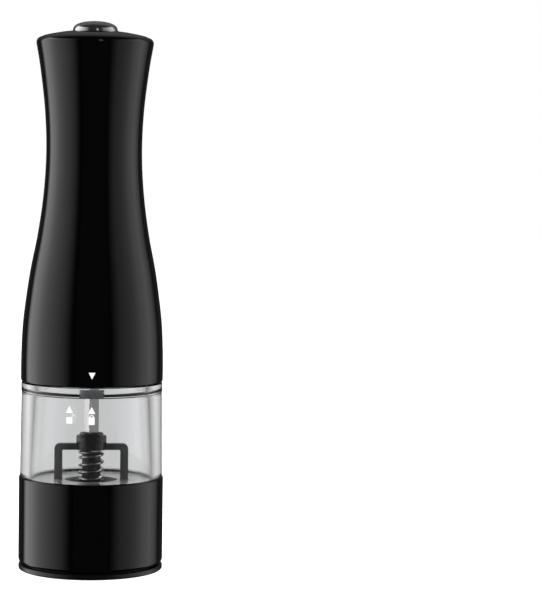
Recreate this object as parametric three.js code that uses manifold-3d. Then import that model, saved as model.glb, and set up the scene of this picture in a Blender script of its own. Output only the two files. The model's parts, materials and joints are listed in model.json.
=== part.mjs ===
// Battery-driven pepper mill, in millimetres. +Z is up, the axis is Z, the mill stands on z = 0
// and its lock marks face -Y. The lower unit holds the grinder and the pepper; the head holds the
// gearbox, motor and batteries, turns a little on the neck to unlock, and lifts off for filling.
import * as THREE from "three";
import { mergeVertices } from "three/addons/utils/BufferGeometryUtils.js";
import Module from "manifold-3d";

const wasm = await Module();
wasm.setup();

// ---- Driving sizes ----------------------------------------------------------------------------
const radians = (degrees) => (degrees * Math.PI) / 180;
const SHELL_SEGMENTS = 36; // sides of the large round pieces
const INNER_SEGMENTS = 24; // sides of the pieces inside
const SMALL_SEGMENTS = 12; // sides of screws, pins and bores
const fit = 0.3; // gap between pieces that seat on or in each other

// Lid and lower sleeve
const lidHeight = 2.2;
const lidEdge = 0.7;
const lidRimHeight = 3;
const lidRimWall = 1.5;
const sleeveRadius = 29.05;
const sleeveWall = 1.2;
const sleeveFootWall = 2.05;
const sleeveLength = 35.1;
const sleeveRecess = 8.6;
const sleeveFloor = 2;
const sleeveFootRound = 2.6;
const sleeveTopRound = 0.9;
const lidRadius = sleeveRadius - 0.05;
const sleeveBottom = lidHeight + 0.4;
const sleeveTop = sleeveBottom + sleeveLength;
const sleeveBore = sleeveRadius - sleeveWall;

// Clear container
const containerFootRadius = sleeveRadius - 0.45;
const containerTopRadius = containerFootRadius - 0.4;
const containerFootWall = 4.3;
const containerTopWall = 5.6;
const containerLength = 33.2; // from the sleeve to the groove under the flange
const grooveHeight = 0.6;
const grooveDepth = 0.2;
const flangeRadius = containerTopRadius + 0.1;
const flangeHeight = 3.8;
const neckStep = 4.1; // from the flange in to the neck
const neckWall = 2.4;
const neckHeight = 5.8;
const skirtWall = 2.1;
const floorThickness = 1.8;
const floorHole = 10.4;
const neckRadius = flangeRadius - neckStep;
const neckBore = neckRadius - neckWall;
const containerFoot = sleeveTop + fit;
const grooveBottom = containerFoot + containerLength;
const flangeBottom = grooveBottom + grooveHeight;
const flangeTop = flangeBottom + flangeHeight;
const neckTop = flangeTop + neckHeight;
const skirtRadius = sleeveBore - fit;
const skirtBottom = sleeveBottom + sleeveRecess + sleeveFloor + fit;
const floorTop = sleeveTop - 1;
const floorBottom = floorTop - floorThickness;

// Bayonet between the neck and the head
const lugCount = 3;
const lugWidth = 14; // degrees
const lugRise = 0.8;
const lugHeight = 2;
const lugLevel = 2.2; // above the flange
const lugPlay = 1; // degrees at each stop
const stopWidth = 6; // degrees
const twist = 18; // degrees from locked to unlocked

// Grinder
const grinderWall = 1.5;
const grinderBottom = sleeveBottom + 4.6;
const grinderPlate = 2;
const statorRadius = 13.4;
const statorBottom = grinderBottom + 1.6;
const statorHeight = 16.4;
const statorMouth = 10.9;
const statorThroat = 7.2;
const grindGap = 0.7;
const fluteCount = 18;
const fluteDepth = 0.6;
const fluteTwist = radians(2.2); // per millimetre of height
const clipHeight = 1;
const clipWall = 2;
const grinderRadius = statorRadius + fit + grinderWall;

// Drive shaft, stem and knob
const shaftSide = 4.3;
const shaftTurn = radians(28); // the front corner stands a little left of the middle
const shaftClearance = 0.2;
const boreSide = shaftSide + 2 * shaftClearance;
const stemRadius = boreSide / Math.SQRT2 + 0.48; // leaves a wall at the corners of the bore
const seatRadius = stemRadius + 1.35;
const seatHeight = 1.8;
const threadRadius = 1.6;
const knobRadius = 6;
const knobHeight = 4.8;
const knobFlutes = 12;
const knobBottom = lidHeight + 1.4;

// Bridge and grinder spring
const legWidth = 3.1;
const legDepth = 3.6;
const legSpan = 29.5;
const armHeight = 2.5;
const bridgeHeight = 14.5; // of the arm above the container's floor
const legCorner = 2;
const collarRise = 3.3;
const collarLip = 1.1;
const shaftBoreRadius = shaftSide / Math.SQRT2 + 0.36; // clears the shaft's corners
const collarRadius = shaftBoreRadius + 2.7;
const collarLipRadius = shaftBoreRadius + 1.2;
const armTop = floorTop + bridgeHeight;
const collarTop = armTop + collarRise;
const collarBottom = armTop - armHeight;
const wireRadius = 0.6;
const coilRadius = stemRadius + wireRadius + 0.2;
const coilTurns = 5;
const legScrewRadius = 0.8;
const legScrewDepth = 7;
const legScrewHead = 1.9;

// Gears
const gearModule = 0.6;
const pressureAngle = radians(20);
const sunTeeth = 12;
const planetTeeth = 15;
const ringTeeth = sunTeeth + 2 * planetTeeth;
const backlash = 0.14;
const planetCount = 3;
const gearCentres = (gearModule * (sunTeeth + planetTeeth)) / 2;
const planetHeight = 5.2;
const carrierPlate = 1.8;
const carrierRadius = 10.6;
const pinRadius = 1.4;
const sealRadius = (neckRadius + neckBore) / 2;
const sealCord = 0.55;

// Head: heights from the neck up
const chassisPlate = 2.5;
const gearboxEar = 2.9;
const gearboxPlate = 2;
const gearboxScrewRadius = 1.2;
const gearboxScrewHead = 2.1;
const plateBottom = neckTop + 2 * sealCord + 0.1;
const plateTop = plateBottom + chassisPlate;
const carrier2Bottom = plateTop + 0.6;
const planet2Bottom = carrier2Bottom + carrierPlate + fit;
const carrier1Bottom = planet2Bottom + planetHeight + 0.5;
const planet1Bottom = carrier1Bottom + carrierPlate + fit;
const gearboxTop = planet1Bottom + planetHeight + 0.9;
const coverBottom = gearboxTop + 0.1;
const coverTop = coverBottom + gearboxPlate;
const couplerRadius = shaftBoreRadius + 1.6;
const couplerLength = 13.1;
const couplerTop = plateTop - 0.4;
const couplerBottom = couplerTop - couplerLength;
const dogRadius = shaftSide / 2 + 0.35;
const dogWidth = 1.1;
const dogTurn = radians(twist / 2);

// Motor and batteries
const motorRadius = 12.2;
const motorLength = 27.4;
const endBellHeight = 3.4;
const motorShaftRadius = 1;
const motorBoss = 3;
const tagOffset = 8;
const tagWidth = 2.4;
const tagThickness = 0.6;
const cradleWall = 2.2;
const cradleRadius = motorRadius + fit + cradleWall;
const cradleWindow = 13;
const earCentre = cradleRadius + gearboxScrewHead + 1.8; // the screw heads clear the cradle
const gearboxRadius = earCentre - 2.2;
const motorBottom = coverTop + fit;
const motorTop = motorBottom + motorLength + endBellHeight;
const cradleTop = motorTop + 2.2;
const cellRadius = 5.25;
const cellBody = 43.7;
const cellNub = 0.8;
const cellNubRadius = 1.9;
const spineThickness = 0.9;
const cellOffset = cellRadius + spineThickness / 2 + 0.2;
const contactHeight = 0.4;
const contactSize = 6.4;
const contactSpringHeight = 3;
const holderRadius = cellOffset * Math.SQRT2 + cellRadius + 1.8;
const holderDisc = 2;
const spineSpan = holderRadius - 3;
const gateWidth = 2; // of the openings that the contact strips pass through
const leadRadius = 0.7;
const leadOffset = holderRadius - 1.3;
const leadNotch = 2.4;
const holderBottom = cradleTop + fit;
const bayBottom = holderBottom + holderDisc + 0.2 + contactHeight + 0.1;
const bayTop = bayBottom + contactSpringHeight + 0.2 + cellBody + cellNub;
const holderTop = bayTop + 0.1 + contactHeight + 0.2 + holderDisc;

// Switch and button
const switchWidth = 9;
const switchHeight = 5;
const plungerRadius = 1.6;
const plungerLength = 3.6;
const plungerRise = 2.4;
const buttonTravel = 2;
const buttonRadius = 9;
const buttonRise = 7; // above the shell's rim
const buttonFlange = 10.1;
const buttonStem = 2.4;
const buttonEdge = 0.25; // gap round the button
const guideWall = 1.8;
const guideFloor = 1.6;
const guideLength = 12.7;
const buttonCoil = 5;
const buttonWire = 0.4;
const buttonTurns = 4;
const switchBottom = holderTop + 0.1;
const switchTop = switchBottom + switchHeight;
const stemBottom = switchTop + plungerRise + 0.4;
const guideBottom = stemBottom + 2;
const guideTop = guideBottom + guideLength;

// Upper shell
const shellWall = 1.8;
const shellRoom = 2; // round the battery holder
const shellFootRadius = sleeveRadius - 0.5;
const shellWaistRadius = holderRadius + shellRoom + shellWall;
const shellFootRound = 1.2;
const shellTopRound = 1.6;
const domeRise = 3.3;
const shellBottom = flangeTop + fit;
const shellCeiling = guideTop + 0.1;
const shellRim = shellCeiling - 0.2;
const sideTop = shellRim - 2.4;
const flangeThickness = 2;
const flangeCeiling = shellCeiling - 0.2;
const flangeFloor = flangeCeiling - flangeThickness;
const buttonTop = shellRim + buttonRise;

// The waisted side: shares of its height, and of the way out from the waist to the foot.
const sideShape = [
  [0.033, 1.009],
  [0.152, 0.953],
  [0.271, 0.762],
  [0.39, 0.459],
  [0.509, 0.172],
  [0.628, 0.026],
  [0.747, 0.018],
  [0.866, 0.156],
  [1, 0.446],
];

// ---- Geometry helpers ---------------------------------------------------------------------------
const at = (radius, angle) => [radius * Math.cos(angle), radius * Math.sin(angle)];

// A quarter round between two directions about a centre, as [radius, height] points.
function rounding(radius, height, size, from, to, steps = 2) {
  return Array.from({ length: steps + 1 }, (_, i) => {
    const angle = radians(from + ((to - from) * i) / steps);
    return [radius + size * Math.cos(angle), height + size * Math.sin(angle)];
  });
}

// A solid of revolution about Z from [radius, height] points. The outline closes on the axis,
// or, when it stays off the axis, on itself.
function turned(points, segments = INNER_SEGMENTS) {
  const onAxis = points[0][0] === 0;
  const outline = onAxis ? points : [...points, points[0]];
  const area = outline.reduce((sum, [r, z], i) => {
    const [nextR, nextZ] = outline[(i + 1) % outline.length];
    return sum + r * nextZ - nextR * z;
  }, 0);
  const ordered = area > 0 ? outline : [...outline].reverse();
  const profile = ordered.map(([r, z]) => new THREE.Vector2(r, z));
  return new THREE.LatheGeometry(profile, segments).rotateX(Math.PI / 2);
}

const tube = (inner, outer, bottom, top, segments) =>
  turned([[inner, bottom], [outer, bottom], [outer, top], [inner, top]], segments);

const disc = (radius, bottom, top, segments) =>
  turned([[0, bottom], [radius, bottom], [radius, top], [0, top]], segments);

const pinAt = ([x, y], radius, bottom, top, segments = SMALL_SEGMENTS) =>
  disc(radius, bottom, top, segments).translate(x, y, 0);

function prism(outline, bottom, top, holes = []) {
  const toVectors = (points) => points.map(([x, y]) => new THREE.Vector2(x, y));
  const shape = new THREE.Shape(toVectors(outline));
  shape.holes = holes.map((hole) => new THREE.Path(toVectors(hole)));
  const options = { depth: top - bottom, bevelEnabled: false, steps: 1 };
  return new THREE.ExtrudeGeometry(shape, options).translate(0, 0, bottom);
}

// A box given by the middle of its footprint, its footprint and its two heights.
const block = ([x, y], [width, depth], bottom, top) =>
  new THREE.BoxGeometry(width, depth, top - bottom).translate(x, y, (bottom + top) / 2);

// A piece of a flat ring between two angles.
function ringSector(inner, outer, from, to, bottom, top, steps = 3) {
  const arc = (radius) =>
    Array.from({ length: steps + 1 }, (_, i) => at(radius, from + ((to - from) * i) / steps));
  return prism([...arc(outer), ...arc(inner).reverse()], bottom, top);
}

const circle = (radius, segments, [x, y] = [0, 0]) =>
  Array.from({ length: segments }, (_, i) => {
    const [dx, dy] = at(radius, (2 * Math.PI * i) / segments);
    return [x + dx, y + dy];
  });

function toManifold(geometry) {
  const bare = geometry.clone();
  bare.deleteAttribute("normal");
  bare.deleteAttribute("uv");
  const merged = mergeVertices(bare, 1e-4);
  const triVerts = new Uint32Array(merged.index.array);
  const vertProperties = merged.attributes.position.array;
  return new wasm.Manifold(new wasm.Mesh({ numProp: 3, vertProperties, triVerts }));
}

function toGeometry(manifold) {
  const { vertProperties, triVerts } = manifold.getMesh();
  const geometry = new THREE.BufferGeometry();
  geometry.setAttribute("position", new THREE.BufferAttribute(vertProperties, 3));
  geometry.setIndex(new THREE.BufferAttribute(triVerts, 1));
  geometry.computeVertexNormals();
  return geometry;
}

const joined = (...pieces) => toGeometry(pieces.map(toManifold).reduce((a, b) => a.add(b)));
const cut = (piece, ...tools) =>
  toGeometry([piece, ...tools].map(toManifold).reduce((a, b) => a.subtract(b)));

// A round wire along a helix about Z, its ends level with the given heights.
class Helix extends THREE.Curve {
  constructor(radius, bottom, top, turns) {
    super();
    Object.assign(this, { radius, bottom, top, turns });
  }
  getPoint(t, target = new THREE.Vector3()) {
    const [x, y] = at(this.radius, 2 * Math.PI * this.turns * t);
    return target.set(x, y, this.bottom + (this.top - this.bottom) * t);
  }
}

function wireAlong(curve, radius, steps, sides) {
  const shape = new THREE.Shape(circle(radius, sides).map(([x, y]) => new THREE.Vector2(x, y)));
  return new THREE.ExtrudeGeometry(shape, { steps, extrudePath: curve, bevelEnabled: false });
}

function coil(radius, wire, bottom, top, turns, steps = 12, sides = 5) {
  const path = new Helix(radius, bottom + wire, top - wire, turns);
  return wireAlong(path, wire, Math.round(turns * steps), sides);
}

// Moves every second side of a lathe solid in by a depth and winds it into a spiral. Only the
// outline points that the test picks are moved.
function fluted(geometry, depth, windPerHeight, picks) {
  const position = geometry.getAttribute("position");
  const perSide = geometry.parameters.points.length;
  for (let i = 0; i < position.count; i += 1) {
    if (!picks(i % perSide)) continue;
    const odd = Math.floor(i / perSide) % 2;
    const [x, y, z] = [position.getX(i), position.getY(i), position.getZ(i)];
    const radius = Math.hypot(x, y) - odd * depth;
    position.setXY(i, ...at(radius, Math.atan2(y, x) + windPerHeight * z));
  }
  return geometry;
}

// ---- Gear teeth -----------------------------------------------------------------------------------
const involute = (angle) => Math.tan(angle) - angle;

// Half the angle that an involute tooth fills at a radius; play is taken off at the pitch circle.
function toothHalfAngle(teeth, radius, play) {
  const pitch = (gearModule * teeth) / 2;
  const slope = Math.acos(Math.min(1, (pitch * Math.cos(pressureAngle)) / radius));
  return (Math.PI / 2 - play / gearModule) / teeth + involute(pressureAngle) - involute(slope);
}

// Outline of a toothed circle with a tooth centred on the phase angle.
function toothedOutline(teeth, root, tip, play, phase = 0) {
  const radii = [root, (root + 2 * tip) / 3, tip];
  return Array.from({ length: teeth }, (_, i) => {
    const centre = phase + (2 * Math.PI * i) / teeth;
    const flank = (side) =>
      radii.map((radius) => at(radius, centre + side * toothHalfAngle(teeth, radius, play)));
    return [...flank(-1), ...flank(1).reverse()];
  }).flat();
}

function gearOutline(teeth, phase = 0) {
  const pitch = (gearModule * teeth) / 2;
  return toothedOutline(teeth, pitch - 1.25 * gearModule, pitch + 0.9 * gearModule, backlash, phase);
}

function ringOutline() {
  const pitch = (gearModule * ringTeeth) / 2;
  const [inner, outer] = [pitch - 0.9 * gearModule, pitch + 1.25 * gearModule];
  return toothedOutline(ringTeeth, inner, outer, -backlash);
}

// ---- Materials ------------------------------------------------------------------------------------
const finish = (color, roughness, metalness = 0, opacity = 1) =>
  new THREE.MeshStandardMaterial({
    color,
    roughness,
    metalness,
    opacity,
    transparent: opacity < 1,
  });
const glossBlack = () => finish(0x08080a, 0.08);
const satinBlack = () => finish(0x111112, 0.4);
const clearPlastic = () => finish(0xe8ebee, 0.03, 0, 0.3);
const polishedSteel = () => finish(0xc9cacd, 0.18, 1);
const greyPlastic = () => finish(0x9a9da0, 0.45);
const whitePlastic = () => finish(0xe9e7e0, 0.4);
const ceramic = () => finish(0xe6dfd0, 0.55);
const silicone = () => finish(0xc9c9c4, 0.6);
const brass = () => finish(0xb08d4a, 0.3, 1);
const cellSleeve = () => finish(0x2f6f4e, 0.35);
const redLead = () => finish(0xb3211c, 0.5);
const blackLead = () => finish(0x1b1b1c, 0.5);

// ---- Lower unit -----------------------------------------------------------------------------------
function lid() {
  const rim = sleeveRadius - sleeveFootWall - fit;
  return turned(
    [
      [0, 0],
      ...rounding(lidRadius - lidEdge, lidEdge, lidEdge, -90, 0),
      ...rounding(lidRadius - lidEdge, lidHeight - lidEdge, lidEdge, 0, 90),
      [rim, lidHeight],
      [rim, lidHeight + lidRimHeight],
      [rim - lidRimWall, lidHeight + lidRimHeight],
      [rim - lidRimWall, lidHeight],
      [0, lidHeight],
    ],
    SHELL_SEGMENTS,
  );
}

function lowerSleeve() {
  const foot = sleeveRadius - sleeveFootWall;
  const floor = sleeveBottom + sleeveRecess;
  const footCentre = sleeveRadius - sleeveFootRound;
  const topCentre = sleeveRadius - sleeveTopRound;
  return turned(
    [
      [foot, sleeveBottom + 1.4],
      [foot + 0.2, sleeveBottom + 0.6],
      ...rounding(footCentre, sleeveBottom + sleeveFootRound, sleeveFootRound, -60, 0),
      ...rounding(topCentre, sleeveTop - sleeveTopRound, sleeveTopRound, 0, 90),
      [sleeveBore, sleeveTop],
      [sleeveBore, floor + sleeveFloor],
      [grinderRadius + fit, floor + sleeveFloor],
      [grinderRadius + fit, floor],
      [foot, floor],
    ],
    SHELL_SEGMENTS,
  );
}

function container() {
  const wall = turned(
    [
      [skirtRadius, skirtBottom],
      [skirtRadius, containerFoot],
      [containerFootRadius, containerFoot],
      [containerTopRadius, grooveBottom],
      [containerTopRadius - grooveDepth, grooveBottom + 0.1],
      [containerTopRadius - grooveDepth, flangeBottom - 0.1],
      [flangeRadius, flangeBottom],
      [flangeRadius, flangeTop],
      [neckRadius, flangeTop],
      [neckRadius, neckTop],
      [neckBore, neckTop],
      [neckBore, flangeBottom + 1.2],
      [containerTopRadius - containerTopWall, flangeBottom],
      [containerFootRadius - containerFootWall, floorTop + 0.1],
      [skirtRadius - skirtWall, floorTop + 0.1],
      [skirtRadius - skirtWall, skirtBottom],
    ],
    SHELL_SEGMENTS,
  );
  const bottom = flangeTop + lugLevel;
  const half = radians(lugWidth / 2);
  const lugs = Array.from({ length: lugCount }, (_, i) => {
    const middle = (2 * Math.PI * i) / lugCount;
    const [inner, outer] = [neckRadius - 1, neckRadius + lugRise];
    return ringSector(inner, outer, middle - half, middle + half, bottom, bottom + lugHeight);
  });
  return joined(wall, ...lugs);
}

// The places of the bridge's two legs.
const legX = (legSpan - legWidth) / 2;
const legSides = [-1, 1];

function containerFloor() {
  const plate = tube(floorHole, skirtRadius - skirtWall - fit, floorBottom, floorTop, SHELL_SEGMENTS);
  const slots = legSides.map((side) =>
    block([side * legX, 0], [legWidth + 2 * fit, legDepth + 2 * fit], floorBottom - 1, floorTop + 1),
  );
  return cut(plate, ...slots);
}

const plateUnder = floorBottom - 0.3; // top of the grinder housing

function grinderHousing() {
  const rim = skirtRadius - skirtWall - fit;
  const seat = statorRadius + fit;
  const seatTop = statorBottom + statorHeight + fit;
  const body = turned([
    [grinderRadius, grinderBottom],
    [grinderRadius, plateUnder - grinderPlate],
    [rim, plateUnder - grinderPlate],
    [rim, plateUnder],
    [floorHole, plateUnder],
    [statorThroat + 1.6, seatTop + 2],
    [statorThroat + 1.6, seatTop],
    [seat, seatTop],
    [seat, grinderBottom],
  ]);
  const screwHoles = legSides.map((side) =>
    pinAt([side * legX, 0], legScrewRadius + fit, grinderBottom, plateUnder + 1),
  );
  const headPockets = legSides.map((side) =>
    pinAt([side * legX, 0], legScrewHead + fit, grinderBottom - 1, plateUnder - grinderPlate),
  );
  return cut(body, ...screwHoles, ...headPockets);
}

function statorRing() {
  const top = statorBottom + statorHeight;
  const profile = [
    [statorRadius, statorBottom],
    [statorRadius, top],
    [statorThroat, top],
    [statorThroat + 0.4, top - 3],
    [statorMouth, statorBottom + 4],
    [statorMouth, statorBottom],
  ];
  const ring = turned(profile, 2 * fluteCount);
  const onBore = ring.parameters.points.map((point) => point.x < statorRadius - 1e-6);
  return fluted(ring, -fluteDepth, -fluteTwist, (point) => onBore[point]);
}

function retainingRing() {
  const outer = statorRadius + fit - 0.1;
  return tube(outer - clipWall, outer, grinderBottom + 0.3, grinderBottom + 0.3 + clipHeight);
}

const squareBore = (bottom, top) =>
  block([0, 0], [boreSide, boreSide], bottom, top).rotateZ(shaftTurn);

const rotorBottom = statorBottom - 0.4;
const rotorTop = statorBottom + statorHeight + 2;
const stemTop = collarBottom - 1;

function rotorCone() {
  const profile = [
    [0, rotorBottom],
    [statorMouth - grindGap, rotorBottom],
    [statorMouth - grindGap, statorBottom + 3.4],
    [statorThroat - 1.4, statorBottom + statorHeight - 4],
    [seatRadius, rotorTop],
    [0, rotorTop],
  ];
  const cone = turned(profile, 2 * fluteCount);
  const onFlank = cone.parameters.points.map((point) => point.x > seatRadius + 0.01);
  const shaped = fluted(cone, fluteDepth, fluteTwist, (point) => onFlank[point]);
  return cut(shaped, squareBore(rotorBottom - 1, rotorTop + 1));
}

const seatTop = floorTop - 1.6;

function rotorStem() {
  const sleeve = turned([
    [0, rotorTop + 0.1],
    [stemRadius, rotorTop + 0.1],
    [stemRadius, seatTop - seatHeight - 1],
    [seatRadius, seatTop - seatHeight],
    [seatRadius, seatTop],
    [stemRadius, seatTop + 0.3],
    [stemRadius, stemTop],
    [0, stemTop],
  ]);
  return cut(sleeve, squareBore(rotorTop - 1, stemTop + 1));
}

function grinderSpring() {
  return coil(coilRadius, wireRadius, seatTop + 0.35, collarBottom - 0.1, coilTurns);
}

function driveShaft() {
  const top = couplerTop - 1.6;
  const bar = block([0, 0], [shaftSide, shaftSide], rotorBottom, top).rotateZ(shaftTurn);
  const chamfered = turned([
    [0, rotorBottom - 1],
    [shaftSide, rotorBottom - 1],
    [shaftSide, top - 2.4],
    [shaftSide / 2 - 0.3, top],
    [0, top],
  ]);
  const thread = disc(threadRadius, knobBottom + 0.6, rotorBottom + 1, SMALL_SEGMENTS);
  return joined(toGeometry(toManifold(bar).intersect(toManifold(chamfered))), thread);
}

function adjustKnob() {
  const top = knobBottom + knobHeight;
  const knob = turned(
    [
      [threadRadius + fit, knobBottom],
      [knobRadius - 0.5, knobBottom],
      [knobRadius, knobBottom + 0.5],
      [knobRadius, top - 1.2],
      [knobRadius - 1.6, top],
      [threadRadius + fit, top],
    ],
    2 * knobFlutes,
  );
  const onRim = knob.parameters.points.map((point) => point.x > knobRadius - 0.6);
  return fluted(knob, 0.5, 0, (point) => onRim[point]);
}

function grinderBridge() {
  const half = legSpan / 2;
  const bottom = plateUnder + 0.2;
  const inner = half - legWidth;
  const arch = [
    [-half, bottom],
    [-inner, bottom],
    [-inner, armTop - armHeight],
    [inner, armTop - armHeight],
    [inner, bottom],
    [half, bottom],
    ...rounding(half - legCorner, armTop - legCorner, legCorner, 0, 90),
    ...rounding(legCorner - half, armTop - legCorner, legCorner, 90, 180),
  ];
  const frame = prism(arch, -legDepth / 2, legDepth / 2).rotateX(Math.PI / 2);
  const collar = turned([
    [0, collarBottom],
    [collarRadius, collarBottom],
    [collarRadius, collarTop],
    [collarLipRadius + 0.4, collarTop + 0.2],
    [collarLipRadius, collarTop + collarLip],
    [0, collarTop + collarLip],
  ]);
  const bore = turned([
    [0, collarBottom - 5],
    [shaftBoreRadius, collarBottom - 5],
    [shaftBoreRadius, collarTop - 1],
    [collarLipRadius - 0.3, collarTop + collarLip + 0.2],
    [0, collarTop + collarLip + 0.2],
  ]);
  const screwHoles = legSides.map((side) =>
    pinAt([side * legX, 0], legScrewRadius + 0.2, bottom - 1, bottom + legScrewDepth, 8),
  );
  return cut(joined(frame, collar), bore, ...screwHoles);
}

// A screw with its head down, its shank rising from the given height.
function bridgeScrew(side) {
  const shoulder = plateUnder - grinderPlate - 0.1;
  const screw = turned(
    [
      [0, shoulder - 1.2],
      [legScrewHead, shoulder - 1],
      [legScrewHead, shoulder],
      [legScrewRadius, shoulder],
      [legScrewRadius, plateUnder + legScrewDepth - 1],
      [0, plateUnder + legScrewDepth - 0.4],
    ],
    SMALL_SEGMENTS,
  );
  return screw.translate(side * legX, 0, 0);
}

// ---- Joint between the halves ---------------------------------------------------------------------
function sealRing() {
  const cord = circle(sealCord, 6, [sealRadius, neckTop + sealCord + 0.05]);
  return turned(cord, SHELL_SEGMENTS);
}

// The head's base plate, with a collar round the neck. Stops on the collar meet the neck's lugs
// at the locked and the unlocked end of the twist.
function chassisBase() {
  const lugOuter = neckRadius + lugRise;
  const outer = shellFootRadius - shellWall - fit;
  const collarFoot = flangeTop + 1.2;
  const body = turned(
    [
      [couplerRadius + fit, plateBottom],
      [lugOuter + fit, plateBottom],
      [lugOuter + fit, collarFoot],
      [outer, collarFoot],
      [outer, plateTop],
      [couplerRadius + fit, plateTop],
    ],
    SHELL_SEGMENTS,
  );
  const half = lugWidth / 2 + lugPlay;
  const stops = Array.from({ length: lugCount }, (_, i) => {
    const middle = (360 * i) / lugCount;
    const starts = [middle - half - stopWidth, middle + twist + half];
    return starts.map((start) => {
      const [from, to] = [radians(start), radians(start + stopWidth)];
      return ringSector(neckRadius + fit, lugOuter + 0.8, from, to, collarFoot, plateBottom + 0.5);
    });
  }).flat();
  const holes = earAngles.map((angle) =>
    pinAt(at(earCentre, angle), gearboxScrewRadius + fit, plateBottom - 1, plateTop + 1, 12),
  );
  return cut(joined(body, ...stops), ...holes);
}

// ---- Gearbox --------------------------------------------------------------------------------------
const thirds = Array.from({ length: planetCount }, (_, i) => (2 * Math.PI * i) / planetCount);
const earAngles = thirds.map((angle) => angle + Math.PI / planetCount);

// A round outline with an ear for each gearbox screw.
function earedPlate(bottom, top) {
  const core = disc(gearboxRadius, bottom, top);
  const ears = earAngles.map((angle) => pinAt(at(earCentre, angle), gearboxEar, bottom, top));
  const holes = earAngles.map((angle) =>
    pinAt(at(earCentre, angle), gearboxScrewRadius + fit, bottom - 1, top + 1, 12),
  );
  return cut(joined(core, ...ears), ...holes);
}

function ringGear() {
  const bottom = plateTop + 0.1;
  const blank = earedPlate(bottom, gearboxTop);
  return cut(blank, prism(ringOutline(), bottom - 1, gearboxTop + 1));
}

function planet(centreAngle, bottom) {
  const gap = Math.PI / planetTeeth;
  const outline = gearOutline(planetTeeth, Math.PI + gap);
  const bore = circle(pinRadius + fit, 12);
  return prism(outline, bottom, bottom + planetHeight, [bore])
    .rotateZ(centreAngle)
    .translate(...at(gearCentres, centreAngle), 0);
}

function carrier(bottom) {
  const plate = disc(carrierRadius, bottom, bottom + carrierPlate);
  const pins = thirds.map((angle) => {
    const top = bottom + carrierPlate + fit + planetHeight;
    return pinAt(at(gearCentres, angle), pinRadius, bottom + 0.5, top, 12);
  });
  return [plate, ...pins];
}

function carrierOne() {
  const sun = prism(gearOutline(sunTeeth), planet2Bottom, carrier1Bottom + 0.5);
  return joined(...carrier(carrier1Bottom), sun);
}

function carrierTwo() {
  const stub = disc(shaftBoreRadius - fit, couplerTop - 1.3, carrier2Bottom + 0.5, SMALL_SEGMENTS);
  return joined(...carrier(carrier2Bottom), stub);
}

// The sleeve that drives the shaft: four dogs in its bore leave the square shaft room to turn
// through the lock's twist before they take it up.
function outputCoupler() {
  const sleeve = tube(shaftBoreRadius, couplerRadius, couplerBottom, couplerTop);
  const reach = (dogRadius + shaftBoreRadius + 0.6) / 2;
  const depth = shaftBoreRadius + 0.6 - dogRadius;
  const dogs = [0, 1, 2, 3].map((quarter) =>
    block([reach, 0], [depth, dogWidth], couplerBottom + 1, couplerTop - 2)
      .rotateZ(shaftTurn + dogTurn + (quarter * Math.PI) / 2),
  );
  return joined(sleeve, ...dogs);
}

function gearboxCover() {
  const mouth = (gearModule * sunTeeth) / 2 + gearModule + fit;
  return cut(earedPlate(coverBottom, coverTop), disc(mouth, coverBottom - 1, coverTop + 1));
}

function gearboxScrew(angle) {
  return turned(
    [
      [0, plateBottom + 0.3],
      [gearboxScrewRadius, plateBottom + 0.6],
      [gearboxScrewRadius, coverTop + 0.1],
      [gearboxScrewHead, coverTop + 0.1],
      [gearboxScrewHead, coverTop + 1.3],
      [gearboxScrewHead - 0.5, coverTop + 1.7],
      [0, coverTop + 1.7],
    ],
    12,
  ).translate(...at(earCentre, angle), 0);
}

// ---- Motor ----------------------------------------------------------------------------------------
function motorPinion() {
  const bore = circle(motorShaftRadius + 0.15, 12);
  return prism(gearOutline(sunTeeth), planet1Bottom, gearboxTop - 0.4, [bore]);
}

function motorShaft() {
  return disc(motorShaftRadius, planet1Bottom + 0.3, motorBottom + 1.5, 12);
}

function motorCan() {
  const bore = motorShaftRadius + fit;
  return turned([
    [0, motorBottom + 2],
    [bore, motorBottom + 2],
    [bore, coverBottom + 0.4],
    [motorBoss, coverBottom + 0.4],
    [motorBoss, motorBottom],
    [motorRadius - 1, motorBottom],
    [motorRadius, motorBottom + 1],
    [motorRadius, motorBottom + motorLength],
    [0, motorBottom + motorLength],
  ]);
}

function motorEndBell() {
  const bottom = motorBottom + motorLength + 0.1;
  const body = disc(motorRadius - 0.4, bottom, motorTop);
  const boss = disc(motorBoss, motorTop - 1, motorTop + 1, SMALL_SEGMENTS);
  const tags = legSides.map((side) =>
    block([0, side * tagOffset], [tagWidth, tagThickness], motorTop - 1, motorTop + 1.4),
  );
  return joined(body, boss, ...tags);
}

function motorCradle() {
  const shell = tube(motorRadius + fit, cradleRadius, coverTop + 0.1, cradleTop);
  const [bottom, top] = [motorBottom + 6, motorBottom + motorLength - 5];
  const window = block([0, 0], [3 * cradleRadius, cradleWindow], bottom, top);
  const leadSlot = block([0, 0], [leadNotch + 0.6, 3 * cradleRadius], motorTop - 0.6, cradleTop + 1);
  return cut(shell, window, leadSlot);
}

// ---- Batteries ------------------------------------------------------------------------------------
const cellPlaces = [0, 1, 2, 3].map((i) => at(cellOffset * Math.SQRT2, radians(45 + 90 * i)));
const cellUp = (i) => i % 2 === 0;

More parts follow.
